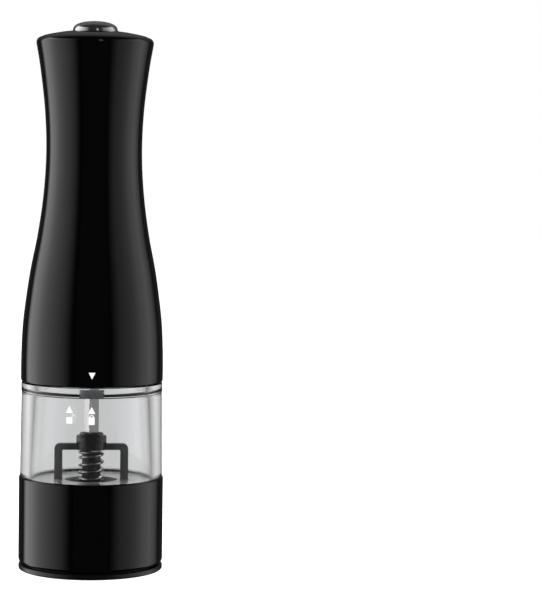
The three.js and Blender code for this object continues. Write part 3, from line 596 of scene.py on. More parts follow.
def mottled(name, tone, deeper, roughness, grain_scale, grain, drift_scale=120, **inputs):
    """A dull finish with colour drift and an even grain: ceramic, acetal, silicone or wire cover."""
    finish = Finish(name, **inputs)
    drift = finish.between(finish.noise(drift_scale, 4), 0.3, 0.7)
    finish.feed(Base_Color=finish.blend(drift, tone, deeper), Roughness=roughness + 0.08 * drift)
    finish.bump(finish.noise(grain_scale, 3), grain * MM, 0.6)
    return finish.material


def shaded(tone, factor):
    return tuple(factor * part for part in tone)


def cell_sleeve():
    """Printed shrink sleeve: a green body with a copper band at both ends, and no lettering."""
    finish = Finish("cell_sleeve", Coat_Weight=0.3)
    height = finish.axes(finish.place())[2]
    middle = (low("battery_1") + high("battery_1")) / 2
    reach_up = (high("battery_1") - low("battery_1")) / 2
    band = abs(height - middle) > reach_up * 0.72
    worn = finish.between(finish.noise(180, 4), 0.4, 0.75)
    green = finish.blend(worn, tuple(colours().cell), shaded(colours().cell, 1.35))
    finish.feed(Base_Color=finish.blend(band, green, (0.42, 0.2, 0.085)), Metallic=0.55 * band)
    finish.feed(Roughness=0.26 + 0.12 * worn)
    finish.bump(finish.noise(500, 2), 0.01 * MM, 0.5)
    return finish.material


def nickel():
    """Nickel-plated strip with stamping marks."""
    finish = Finish("nickel", Base_Color=(0.6, 0.57, 0.5), Metallic=1.0)
    marks = finish.noise(400, 4)
    finish.feed(Roughness=0.18 + 0.2 * marks)
    finish.bump(marks, 0.01 * MM, 0.5)
    return finish.material


def print_ink():
    """Pad-printed white ink with an uneven film, glowing with its own colour as a painted light."""
    # Painted light: the ink's emission makes the marks glow though they are no lamp.
    finish = Finish("print_ink", Emission_Color=colours().ink, Emission_Strength=1.0)
    film = finish.between(finish.noise(1500, 3), 0.3, 0.7)
    finish.feed(Base_Color=finish.blend(film, tuple(colours().ink), shaded(colours().ink, 0.93)))
    finish.feed(Roughness=0.4 + 0.12 * film)
    return finish.material


class MILL_OT_finishes(bpy.types.Operator):
    """Mix every plastic, metal, ceramic and ink of the mill"""

    bl_idname = "mill.finishes"
    bl_label = "Finishes"

    def execute(self, context):
        tone = colours()
        gloss_black()
        satin_black()
        satin_black("lid_black", roughness=0.28, grain=0.012)
        # Painted light and shade: the bridge moulding takes a lighter copy of the satin black on its arch and
        # a darker copy on its collar.
        satin_black("arch_black", shade=(0.035, 0.036, 0.038), roughness=0.4)
        satin_black("collar_black", shade=(0.004, 0.004, 0.0045), roughness=0.22, grain=0.008)
        clear_plastic()
        frosted_plastic()
        brushed_steel()
        drawn_steel()
        drawn_steel("spring_steel", 0.14, 0.9)
        mottled("ceramic", tone.ceramic, shaded(tone.ceramic, 0.82), 0.5, 2200, 0.03)
        mottled("acetal", tone.acetal, shaded(tone.acetal, 0.94), 0.36, 1800, 0.008)
        mottled("coupler", tone.coupler, shaded(tone.coupler, 0.9), 0.4, 1800, 0.008)
        mottled("brass", tone.brass, shaded(tone.brass, 0.8), 0.22, 900, 0.006, Metallic=1.0)
        mottled("silicone", tone.silicone, shaded(tone.silicone, 0.92), 0.5, 1500, 0.01)
        mottled("lead_plus", tone.lead_plus, shaded(tone.lead_plus, 0.8), 0.4, 1500, 0.01)
        mottled("lead_minus", tone.lead_minus, shaded(tone.lead_minus, 1.8), 0.4, 1500, 0.01)
        cell_sleeve()
        nickel()
        print_ink()
        return {"FINISHED"}


def finish_of(name):
    """A finish that the finishes operator has mixed."""
    return bpy.data.materials[f"{name}_finish"]


def dress(node, name, finish, width, body, slot):
    """Puts a copy of a CAD node with rounded edges in its place."""
    return fit_out(refined(node, name, finish_of(finish), width), body, slot, node)


def dress_round(node, name, finish, body, slot, rounding=FINE_ROUNDING, steps=ROUND_STEPS, facing=0.0):
    """Puts a finely turned copy of a CAD node in its place."""
    made = piece(respun(node, steps, rounding, facing), name, finish_of(finish))
    return fit_out(made, body, slot, node)


def dress_turned(corners, name, finish, body, slot, node):
    """Puts a piece turned from its own corners in a CAD node's place."""
    return fit_out(piece(turned(corners, SHELL_STEPS), name, finish_of(finish)), body, slot, node)


# ---- Body, container and button ---------------------------------------------------------------------

def smooth_side(points, steps):
    """Points along a Catmull-Rom curve through (height, radius) points, in metres as (radius, height)."""
    ends = [points[0], *points, points[-1]]
    curve = []
    for before, first, last, after in zip(ends, ends[1:], ends[2:], ends[3:]):
        for step in range(steps):
            t = step / steps
            weights = (
                (-t + 2 * t**2 - t**3) / 2,
                (2 - 5 * t**2 + 3 * t**3) / 2,
                (t + 4 * t**2 - 3 * t**3) / 2,
                (t**3 - t**2) / 2,
            )
            height, radius = (
                sum(weight * point[axis] for weight, point in zip(weights, (before, first, last, after)))
                for axis in (0, 1)
            )
            curve.append((radius * MM, height * MM))
    return [*curve, (points[-1][1] * MM, points[-1][0] * MM)]


def dome_height(radius, crown, sphere):
    """Height of a shallow spherical dome at a radius."""
    return crown - sphere + math.sqrt(sphere**2 - radius**2)


class MILL_OT_shell(bpy.types.Operator):
    """Build the waisted upper shell with its domed top and button hole"""

    bl_idname = "mill.shell"
    bl_label = "Upper shell"

    def execute(self, context):
        size = sizes()
        side = smooth_side(SHELL_SIDE, SIDE_STEPS)
        hole = 9.25 * MM
        crown, sphere = high("upper_shell") + 0.8 * MM, 85 * MM
        ceiling = high("button_guide") + 0.1 * MM
        edge = side[-1][0] + 0.3 * MM
        domed = [(radius * MM, dome_height(radius * MM, crown, sphere)) for radius in (20, 17, 13)]
        inside = [(radius - size.shell_wall, height) for radius, height in side[4:-3:4]]
        corners = [
            (*side[0], 1.1 * MM),
            *side[1:],
            (edge, dome_height(edge, crown, sphere) - 0.5 * MM, size.shell_rim),
            *domed,
            (hole, dome_height(hole, crown, sphere), 0.25 * MM),
            (hole, ceiling),
            (inside[-1][0], ceiling, 1 * MM),
            *reversed(inside),
            (side[0][0] - size.shell_wall, side[0][1], 0.3 * MM),
        ]
        dress_turned(corners, "shell_moulding", "gloss_black", "shell", "gloss_black", "upper_shell")
        dress_round("button_guide", "guide_moulding", "satin_black", "shell", "satin_black", size.edge)
        return {"FINISHED"}


class MILL_OT_button(bpy.types.Operator):
    """Build the steel push button, its return spring and the switch under it"""

    bl_idname = "mill.button"
    bl_label = "Push button"

    def execute(self, context):
        size = sizes()
        crown, foot = high("push_button"), low("push_button")
        flange, radius = reach("push_button"), 9 * MM
        under = high("button_guide") - 0.1 * MM
        corners = [
            (0, crown),
            (3.2 * MM, crown - 0.18 * MM),
            (5.9 * MM, crown - 0.68 * MM),
            (7.6 * MM, crown - 1.42 * MM),
            (8.5 * MM, crown - 2.25 * MM),
            (8.9 * MM, crown - 3.15 * MM),
            (radius, crown - 4.3 * MM),
            (radius, under),
            (flange, under, 0.2 * MM),
            (flange, under - 2 * MM, 0.2 * MM),
            (2.4 * MM, under - 2 * MM),
            (2.4 * MM, foot, 0.5 * MM),
            (0, foot),
        ]
        made = piece(turned(corners, SHELL_STEPS), "button_cap", finish_of("brushed_steel"))
        subdivided = made.modifiers.new("Smooth", "SUBSURF")
        subdivided.levels = subdivided.render_levels = 1
        fit_out(made, "button", "polished_steel", "push_button")
        start, stop = low("button_spring"), high("button_spring")
        spring = coil(5 * MM, size.button_wire, start, stop, 4.5)
        spring = piece(spring, "button_coil", finish_of("spring_steel"))
        fit_out(spring, "shell", "polished_steel", "button_spring")
        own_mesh(spring)
        dress_round("switch_plunger", "plunger_pin", "acetal", "plunger", "white_plastic", steps=SMALL_STEPS)
        dress("switch_body", "switch_case", "satin_black", size.edge, "head", "satin_black")
        return {"FINISHED"}


class MILL_OT_sleeve(bpy.types.Operator):
    """Build the gloss lower sleeve and the lid under it"""

    bl_idname = "mill.sleeve"
    bl_label = "Sleeve and lid"

    def execute(self, context):
        deck = high("lid") - 3 * MM
        foot, top, radius = deck + 0.4 * MM, high("lower_sleeve"), reach("lower_sleeve")
        floor = foot + 8.6 * MM
        bore, recess = radius - 1.2 * MM, radius - 2.05 * MM
        mouth = 15.5 * MM
        corners = [
            (radius, foot, 2.2 * MM),
            (radius, top, 0.8 * MM),
            (bore, top, 0.2 * MM),
            (bore, floor + 2 * MM, 0.3 * MM),
            (mouth, floor + 2 * MM, 0.3 * MM),
            (mouth, floor, 0.3 * MM),
            (recess, floor, 0.5 * MM),
            (recess, foot + 0.4 * MM, 0.2 * MM),
            (recess + 0.3 * MM, foot, 0.15 * MM),
        ]
        dress_turned(corners, "sleeve_moulding", "gloss_black", "base", "gloss_black", "lower_sleeve")
        rim = recess - 0.3 * MM
        ground = low("lid")
        corners = [
            (0, ground + 0.4 * MM),
            (25 * MM, ground + 0.4 * MM, 0.3 * MM),
            (25.4 * MM, ground, 0.15 * MM),
            (reach("lid"), ground, 0.7 * MM),
            (reach("lid"), deck, 0.7 * MM),
            (rim, deck, 0.1 * MM),
            (rim, high("lid"), 0.4 * MM),
            (rim - 1.5 * MM, high("lid"), 0.3 * MM),
            (rim - 1.5 * MM, deck - 0.6 * MM, 0.3 * MM),
            (0, deck - 0.6 * MM),
        ]
        dress_turned(corners, "lid_moulding", "lid_black", "lid", "satin_black", "lid")
        return {"FINISHED"}


class MILL_OT_container(bpy.types.Operator):
    """Build the clear container with its bayonet lugs, its floor and the seal on its neck"""

    bl_idname = "mill.container"
    bl_label = "Clear container"

    def execute(self, context):
        neck_top, skirt = high("container"), low("container")
        shoulder = high("lower_sleeve") + CONTAINER_STEP
        flange_top = neck_top - 5.8 * MM
        flange = flange_top - 3.8 * MM
        groove = flange - 0.6 * MM
        deck = high("container_floor") + 0.1 * MM
        wide, narrow, rim = CONTAINER_WIDE, CONTAINER_NARROW, CONTAINER_NARROW + 0.1 * MM
        neck, bore = 24.2 * MM, 21.8 * MM
        skirt_outer = reach("lower_sleeve") - 1.5 * MM
        skirt_inner = skirt_outer - 2.1 * MM
        lug_low, lug_high = flange_top + 2.2 * MM, flange_top + 4.2 * MM
        corners = [
            (skirt_outer, skirt, 0.3 * MM),
            (skirt_outer, shoulder),
            (wide, shoulder, 0.3 * MM),
            (narrow, groove, 0.25 * MM),
            (narrow - 0.15 * MM, groove + 0.15 * MM),
            (narrow - 0.15 * MM, flange - 0.15 * MM),
            (rim, flange, 0.3 * MM),
            (rim, flange_top, 0.4 * MM),
            (neck, flange_top, 0.3 * MM),
            (neck, lug_low),
            (neck, lug_high),
            (neck, neck_top, 0.3 * MM),
            (bore, neck_top, 0.4 * MM),
            (bore, flange + 1.2 * MM, 0.8 * MM),
            (22.6 * MM, flange, 1.2 * MM),
            (24.3 * MM, deck, 0.2 * MM),
            (skirt_inner, deck),
            (skirt_inner, skirt, 0.3 * MM),
        ]
        bm = turned(corners, SHELL_STEPS)
        self.raise_lugs(bm, neck, (lug_low + lug_high) / 2)
        made = piece(bm, "container_moulding", finish_of("clear_plastic"))
        fit_out(made, "base", "clear_plastic", "container")
        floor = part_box("container_floor")
        corners = [
            (FLOOR_HOLE, floor[0].z, 0.2 * MM),
            (floor[1].x, floor[0].z, 0.2 * MM),
            (floor[1].x, floor[1].z, 0.2 * MM),
            (FLOOR_HOLE, floor[1].z, 0.3 * MM),
        ]
        made = piece(turned(corners, SHELL_STEPS), "floor_moulding", finish_of("frosted_plastic"))
        middle = (floor[0].z + floor[1].z) / 2
        slots = []
        for side in (-1, 1):
            tool = bmesh.new()
            add_block(tool, (3.7 * MM, 4.2 * MM, 6 * MM), (side * 13.2 * MM, 0, middle))
            slots.append(tool)
        combined(made, slots, "DIFFERENCE")
        fit_out(made, "base", "clear_plastic", "container_floor")
        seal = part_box("seal_ring")
        cord = (seal[1].z - seal[0].z) / 2
        bm = bmesh.new()
        ring_of_wire(bm, 23 * MM, 2 * cord, seal[0].z + cord, 20)
        spin_round(bm, SHELL_STEPS)
        fit_out(piece(bm, "seal_cord", finish_of("silicone")), "seal", "silicone", "seal_ring")
        return {"FINISHED"}

    @staticmethod
    def raise_lugs(bm, neck, height):
        """Pulls three bayonet lugs out of the neck."""
        for third in range(3):
            middle = FULL_TURN * third / 3
            chosen = []
            for face in bm.faces:
                spot = face.calc_center_median()
                swing = (math.atan2(spot.y, spot.x) - middle + math.pi) % FULL_TURN - math.pi
                on_neck = abs(math.hypot(spot.x, spot.y) - neck) < 0.1 * MM
                if on_neck and abs(spot.z - height) < 0.1 * MM and abs(swing) < math.radians(7):
                    chosen.append(face)
            made = bmesh.ops.extrude_face_region(bm, geom=chosen)
            raised = [item for item in made["geom"] if isinstance(item, bmesh.types.BMVert)]
            grown = (neck + 0.8 * MM) / neck
            bmesh.ops.scale(bm, vec=(grown, grown, 1), verts=raised)
            bmesh.ops.delete(bm, geom=chosen, context="FACES_ONLY")


# ---- Printed marks ----------------------------------------------------------------------------------


def stamp(bm, corners, rounding=0.0):
    """Adds one flat shape with (across, height) corners in the XZ plane."""
    verts = [bm.verts.new((across, 0, height)) for across, height in corners]
    edges = [bm.edges.new(pair) for pair in zip(verts, [*verts[1:], verts[0]])]
    known = set(bm.edges) - set(edges)
    if rounding:
        for vert in verts:
            round_corner(bm, vert, rounding, 3)
    loop = [edge for edge in bm.edges if edge not in known]
    made = bmesh.ops.contextual_create(bm, geom=loop)
    bmesh.ops.triangulate(bm, faces=made["faces"])


def arrow(bm, middle, foot, tip, width):
    """A solid arrow head: foot is the height of its flat side and tip that of its point."""
    stamp(bm, [(middle - width / 2, foot), (middle + width / 2, foot), (middle, tip)], width * 0.04)


def shackle(bm, middle, foot, radius, rise, thickness, lift=0.0):
    """The bow of a padlock, its right leg lifted when the lock is open."""
    angles = [math.pi * step / 10 for step in range(11)]
    crown = foot + rise

    def arc(size):
        return [(middle + size * math.cos(angle), crown + size * math.sin(angle)) for angle in angles]

    outer, inner = arc(radius), arc(radius - thickness)
    stamp(
        bm,
        [
            (middle + radius, foot + lift),
            *outer,
            (middle - radius, foot),
            (middle - radius + thickness, foot),
            *reversed(inner),
            (middle + radius - thickness, foot + lift),
        ],
    )


def wrapped(bm, surface, swing, film):
    """Gives flat shapes their ink thickness and wraps them round the mill at an angle from its front.

    surface gives the radius to print on at a height."""
    reach_out = max(abs(vert.co.x) for vert in bm.verts)
    count = 6
    for step in range(1 - count, count):
        plane = Vector((reach_out * step / count, 0, 0))
        bmesh.ops.bisect_plane(
            bm, geom=bm.verts[:] + bm.edges[:] + bm.faces[:], dist=0.001 * MM,
            plane_co=plane, plane_no=(1, 0, 0),
        )
    made = bmesh.ops.extrude_face_region(bm, geom=bm.faces[:])
    raised = [item for item in made["geom"] if isinstance(item, bmesh.types.BMVert)]
    bmesh.ops.translate(bm, verts=raised, vec=(0, -film, 0))
    for vert in bm.verts:
        radius = surface(vert.co.z) - vert.co.y
        angle = swing + vert.co.x / radius
        vert.co.x, vert.co.y = radius * math.sin(angle), -radius * math.cos(angle)
    return bm


class MILL_OT_marks(bpy.types.Operator):
    """Print the arrow on the shell and the open and closed padlocks on the container"""

    bl_idname = "mill.marks"
    bl_label = "Lock marks"

    def execute(self, context):
        tip = low("upper_shell") + 3.5 * MM
        pointer = bmesh.new()
        arrow(pointer, 0, tip + 0.9 * sizes().mark_height, tip, 2.65 * MM)
        shell_radius = SHELL_SIDE[1][1] * MM
        self.put(pointer, lambda height: shell_radius, 0, "shell_arrow", "shell")
        shoulder = high("lower_sleeve") + CONTAINER_STEP

        def container_side(height):
            lean = (CONTAINER_WIDE - CONTAINER_NARROW) * (height - shoulder) / CONTAINER_RISE
            return CONTAINER_WIDE + INK_CLEARANCE - lean

        line = shoulder + MARK_LEVEL
        locked = bmesh.new()
        arrow(locked, 0, line, line + 2.8 * MM, 2.9 * MM)
        body = line - 1.3 * MM
        stamp(locked, self.plate(0, body - 3 * MM, 2.4 * MM, 3 * MM), 0.2 * MM)
        shackle(locked, 0, body, 0.85 * MM, 0.1 * MM, 0.4 * MM)
        self.put(locked, container_side, 0, "locked_mark", "base")
        opened = bmesh.new()
        arrow(opened, 0, line + 0.2 * MM, line + 3.1 * MM, 2.9 * MM)
        body = line - 1.5 * MM
        stamp(opened, self.plate(0, body - 2.5 * MM, 2.5 * MM, 2.5 * MM), 0.2 * MM)
        shackle(opened, 1.75 * MM, body, 0.75 * MM, 0.5 * MM, 0.24 * MM, lift=0.35 * MM)
        swing = math.radians(joint_of("head_twist")["range_deg"][0])
        self.put(opened, container_side, swing, "open_mark", "base")
        return {"FINISHED"}

    @staticmethod
    def put(bm, surface, swing, name, body):
        """Prints flat shapes on a surface at an angle from the mill's front."""
        wrapped(bm, surface, swing, sizes().mark_film)
        fit_out(piece(bm, name, finish_of("print_ink"), smooth=False), body, "white_plastic")

    @staticmethod
    def plate(middle, foot, width, height):
        """The corners of a padlock's body."""
        left, right = middle - width / 2, middle + width / 2
        return [(left, foot), (right, foot), (right, foot + height), (left, foot + height)]


# ---- Grinder and drive shaft --------------------------------------------------------------------------


def middle_of(node):
    """The middle of a node's box, seen from above."""
    lowest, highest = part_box(node)
    return ((lowest.x + highest.x) / 2, (lowest.y + highest.y) / 2)


def dress_screw(node, name, body, radius, face, depth, way):
    """Puts a turned copy of a screw in its place, with a cross recess cut upwards (1) or down (-1)."""
    centre = middle_of(node)
    made = piece(respun(node, SMALL_STEPS, FINE_ROUNDING, centre=centre), name, finish_of("drawn_steel"))
    tools = []
    for turn in (0, math.pi / 2):
        tool = bmesh.new()
        place = (0, 0, face + way * (depth / 2 - 0.1 * MM))
        add_block(tool, (radius * 1.5, radius * 0.34, depth + 0.2 * MM), place, turn)
        bmesh.ops.translate(tool, verts=tool.verts, vec=(*centre, 0))
        tools.append(tool)
    return fit_out(combined(made, tools, "DIFFERENCE"), body, "polished_steel", node)


class MILL_OT_grinder(bpy.types.Operator):
    """Build the ceramic grinder, its housing, the sprung stem, the shaft and the adjusting knob"""

    bl_idname = "mill.grinder"
    bl_label = "Grinder"

    def execute(self, context):
        size = sizes()
        corner_side = math.radians(75)  # this side of the stem passes through a corner of its square bore
        dress("grinder_housing", "housing_moulding", "satin_black", size.edge, "base", "satin_black")
        dress("stator_ring", "ceramic_ring", "ceramic", FINE_ROUNDING, "base", "ceramic")
        dress_round("retaining_ring", "clip_ring", "drawn_steel", "base", "polished_steel")
        dress("rotor_cone", "ceramic_cone", "ceramic", FINE_ROUNDING, "rotor", "ceramic")
        dress_round(
            "rotor_stem", "stem_sleeve", "satin_black", "rotor", "satin_black", 0.2 * MM, facing=corner_side
        )
        dress("drive_shaft", "square_shaft", "drawn_steel", 0.12 * MM, "shaft", "polished_steel")
        dress("adjust_knob", "knob_moulding", "satin_black", 0.3 * MM, "knob", "satin_black")
        wire = coil(4.6 * MM, size.spring_wire, low("grinder_spring"), high("grinder_spring"), 4.75)
        spring = piece(wire, "grinder_coil", finish_of("spring_steel"))
        fit_out(spring, "shaft", "polished_steel", "grinder_spring")
        for side in ("left", "right"):
            node = f"bridge_screw_{side}"
            dress_screw(node, f"arm_screw_{side}", "base", 1.9 * MM, low(node), 0.7 * MM, way=1)
        return {"FINISHED"}


class MILL_OT_bridge(bpy.types.Operator):
    """Build the arch over the grinder with its raised collar"""

    bl_idname = "mill.bridge"
    bl_label = "Grinder bridge"

    def execute(self, context):
        half, foot, crown = reach("grinder_bridge"), low("grinder_bridge"), high("grinder_bridge")
        leg, depth, arm, corner = 3.1 * MM, 3.6 * MM, 2.5 * MM, 2 * MM
        top = crown - 4.4 * MM
        bm = bmesh.new()
        outline(
            bm,
            [
                (half, foot, 0.3 * MM),
                (half, top, corner),
                (-half, top, corner),
                (-half, foot, 0.3 * MM),
                (leg - half, foot, 0.3 * MM),
                (leg - half, top - arm, 0.6 * MM),
                (half - leg, top - arm, 0.6 * MM),
                (half - leg, foot, 0.3 * MM),
            ],
        )
        made = bmesh.ops.contextual_create(bm, geom=bm.edges[:])
        bmesh.ops.translate(bm, verts=bm.verts, vec=(0, -depth / 2, 0))
        pulled = bmesh.ops.extrude_face_region(bm, geom=made["faces"])
        moved = [item for item in pulled["geom"] if isinstance(item, bmesh.types.BMVert)]
        bmesh.ops.translate(bm, verts=moved, vec=(0, depth, 0))
        # The arch takes the lighter copy of the satin black: painted light.
        bridge = piece(bm, "bridge_moulding", finish_of("arch_black"))
        lip = crown - 1.1 * MM
        collar = turned(
            [
                (0, top - arm),
                (6.1 * MM, top - arm, 0.3 * MM),
                (6.1 * MM, lip, 0.5 * MM),
                (4.9 * MM, lip + 0.2 * MM, 0.2 * MM),
                (4.6 * MM, crown, 0.3 * MM),
                (0, crown),
            ]
        )
        bore = turned(
            [
                (0, top - arm - 1 * MM),
                (3.4 * MM, top - arm - 1 * MM),
                (3.4 * MM, lip - 1 * MM),
                (4.3 * MM, crown + 0.2 * MM),
                (0, crown + 0.2 * MM),
            ]
        )
        combined(bridge, [collar], "UNION")
        combined(bridge, [bore], "DIFFERENCE")
        holes = []
        for side in (-1, 1):
            start, stop = foot - 1 * MM, foot + 7 * MM
            tool = turned([(0, start), (1 * MM, start), (1 * MM, stop), (0, stop)], 24)
            bmesh.ops.translate(tool, verts=tool.verts, vec=(side * (half - leg / 2), 0, 0))
            holes.append(tool)
        combined(bridge, holes, "DIFFERENCE")
        # The collar takes the darker copy of the satin black: painted shade.
        bridge.data.materials.append(finish_of("collar_black"))
        for face in bridge.data.polygons:
            if math.hypot(face.center.x, face.center.y) < 6.2 * MM:
                face.material_index = 1
        soften(bridge, 0.2 * MM)
        fit_out(bridge, "base", "satin_black", "grinder_bridge")
        return {"FINISHED"}


class MILL_OT_coupler(bpy.types.Operator):
    """Build the sleeve that drives the shaft through four dogs in its bore"""

    bl_idname = "mill.coupler"
    bl_label = "Coupling sleeve"

    def execute(self, context):
        sleeve = piece(respun("output_coupler", rounding=0.3 * MM), "coupling_sleeve", finish_of("coupler"))
        foot, top = low("output_coupler") + 1 * MM, high("output_coupler") - 2 * MM
        first = 28 - joint_of("head_twist")["range_deg"][0] / 2
        dogs = []
        for quarter in range(4):
            dog = bmesh.new()
            turn = math.radians(first + 90 * quarter)
            add_block(dog, (1.5 * MM, 1.1 * MM, top - foot), (3.25 * MM, 0, (foot + top) / 2), turn)
            dogs.append(dog)
        combined(sleeve, dogs, "UNION")
        fit_out(sleeve, "output", "grey_plastic", "output_coupler")
        return {"FINISHED"}


# ---- Gearbox and motor ----------------------------------------------------------------------------------


class MILL_OT_gearbox(bpy.types.Operator):
    """Finish the two-stage planetary gearbox and the plates round it"""

    bl_idname = "mill.gearbox"
    bl_label = "Gearbox"

    def execute(self, context):
        size = sizes()
        dress("chassis_base", "chassis_plate", "satin_black", size.edge, "head", "satin_black")
        dress("ring_gear", "ring_teeth", "acetal", size.fine_edge, "head", "white_plastic")
        dress("gearbox_cover", "cover_plate", "satin_black", size.edge, "head", "satin_black")
        for stage, body in ((1, "carrier"), (2, "output")):
            node, name = f"carrier_{stage}", f"planet_carrier_{stage}"
            dress(node, name, "acetal", size.fine_edge, body, "white_plastic")
            for letter in "abc":
                node = f"planet_{stage}_{letter}"
                dress(node, f"wheel_{stage}_{letter}", "acetal", size.fine_edge, node, "white_plastic")
        dress("motor_pinion", "pinion_teeth", "brass", size.fine_edge, "motor_rotor", "brass")
        dress_round(
            "motor_shaft", "rotor_pin", "drawn_steel", "motor_rotor", "polished_steel", steps=SMALL_STEPS
        )
        for number in (1, 2, 3):
            node = f"gearbox_screw_{number}"
            dress_screw(node, f"long_screw_{number}", "head", 2.1 * MM, high(node), 0.9 * MM, way=-1)
        return {"FINISHED"}


class MILL_OT_motor(bpy.types.Operator):
    """Build the motor can with its side vents, the end bell and the cradle"""

    bl_idname = "mill.motor"
    bl_label = "Motor"

    def execute(self, context):
        size = sizes()
        can = piece(respun("motor_can", rounding=0.4 * MM), "can_pressing", finish_of("nickel"))
        foot, top = low("motor_can"), high("motor_can")
        vents = []
        for turn in (0, math.pi):
            vent = bmesh.new()
            add_block(vent, (1.4 * MM, 7 * MM, 3 * MM), (12.2 * MM, 0, top - 5 * MM), turn)
            bmesh.ops.bevel(
                vent, geom=vent.edges[:], offset=0.6 * MM, offset_type="OFFSET", segments=2,
                profile=0.5, affect="EDGES", clamp_overlap=True, material=-1,
            )
            vents.append(vent)
        combined(can, vents, "DIFFERENCE")
        band = turned(
            [
                (12.25 * MM, foot + 4 * MM),
                (11.95 * MM, foot + 4.2 * MM),
                (11.95 * MM, foot + 4.8 * MM),
                (12.25 * MM, foot + 5 * MM),
            ]
        )
        combined(can, [band], "DIFFERENCE")
        fit_out(can, "head", "polished_steel", "motor_can")
        dress("motor_end_bell", "end_bell", "acetal", size.edge, "head", "white_plastic")
        dress("motor_cradle", "cradle_moulding", "satin_black", size.edge, "head", "satin_black")
        return {"FINISHED"}


# ---- Batteries and wiring -------------------------------------------------------------------------------


class MILL_OT_batteries(bpy.types.Operator):
    """Build the four cells, their holder, contacts, springs and leads"""

    bl_idname = "mill.batteries"
    bl_label = "Batteries and wiring"

    def execute(self, context):
        dress("battery_holder", "holder_moulding", "satin_black", sizes().edge, "head", "satin_black")
        for number in (1, 2, 3, 4):
            self.cell(number)
            self.spring(number)
        for node, name in (
            ("bottom_contact_front", "bottom_strip_front"),
            ("bottom_contact_back", "bottom_strip_back"),
            ("top_contact_bridge", "top_strip_bridge"),
            ("top_terminal_front", "top_plate_front"),
            ("top_terminal_back", "top_plate_back"),
        ):
            dress(node, name, "nickel", 0.12 * MM, "head", "polished_steel")
        for name, finish_name in (("red", "lead_plus"), ("black", "lead_minus")):
            wire = piece(merged(f"lead_{name}"), f"wire_{name}", finish_of(finish_name), weighted=False)
            smooth = wire.modifiers.new("Round", "SUBSURF")
            smooth.levels = smooth.render_levels = 1
            fit_out(wire, "head", f"{name}_lead", f"lead_{name}")
        return {"FINISHED"}

    @staticmethod
    def cell(number):
        """One cell: a printed sleeve with bare metal ends."""
        node = f"battery_{number}"
        bm = respun(node, 48, 0.25 * MM, centre=middle_of(node))
        made = piece(bm, f"cell_{number}", finish_of("cell_sleeve"))
        made.data.materials.append(finish_of("nickel"))
        centre = Vector((*middle_of(node), 0))
        foot, top = low(node), high(node)
        for face in made.data.polygons:
            spot = face.center - centre
            at_end = min(spot.z - foot, top - spot.z) < 1.1 * MM
            if at_end and math.hypot(spot.x, spot.y) < 4.6 * MM:
                face.material_index = 1
        fit_out(made, "head", "cell_sleeve", node)

    @staticmethod
    def spring(number):
        """One conical contact spring, wide at the holder and narrow at the cell."""
        node = f"contact_spring_{number}"
        start, stop = low(node), high(node)
        bm = coil(3 * MM, sizes().contact_wire, start, stop, 3.5, closed=0.5, steps=24)
        wide_end, way = (start, 1) if number % 2 else (stop, -1)
        for vert in bm.verts:
            spot = Vector((vert.co.x, vert.co.y))
            taper = 1.3 * MM * way * (vert.co.z - wide_end) / (stop - start)
            spot *= (spot.length - taper) / spot.length
            vert.co.x, vert.co.y = spot
        bmesh.ops.translate(bm, verts=bm.verts, vec=(*middle_of(node), 0))
        made = piece(bm, f"cone_spring_{number}", finish_of("spring_steel"))
        fit_out(made, "head", "polished_steel", node)


# ---- Studio -----------------------------------------------------------------------------------------------


def panel_glow(name, stops):
    """A panel's light by its angle from the camera's side: (degrees, radiance) stops."""
    material = bpy.data.materials.new(name)
    glow = Nodes(material)
    glow.tree.nodes.clear()
    x, y, _ = glow.axes(glow.place())
    angle = glow.node("ShaderNodeMath", {"operation": "ARCTAN2"}, abs(x), 0.0 - y)
    brightest = max(radiance for _, radiance in stops)
    shades = [(degrees / 180, radiance / brightest) for degrees, radiance in stops]
    ramp = glow.node("ShaderNodeValToRGB", {"stops": shades}, angle / math.pi)
    light = glow.node("ShaderNodeEmission", None, ramp, brightest)
    hidden = glow.node("ShaderNodeBsdfTransparent")
    clear, turned_back, crossed = glow.clear_path()
    mixed = glow.node("ShaderNodeMixShader", None, clear * (1 - turned_back * crossed), light, hidden)
    glow.node("ShaderNodeOutputMaterial", None, mixed)
    return material


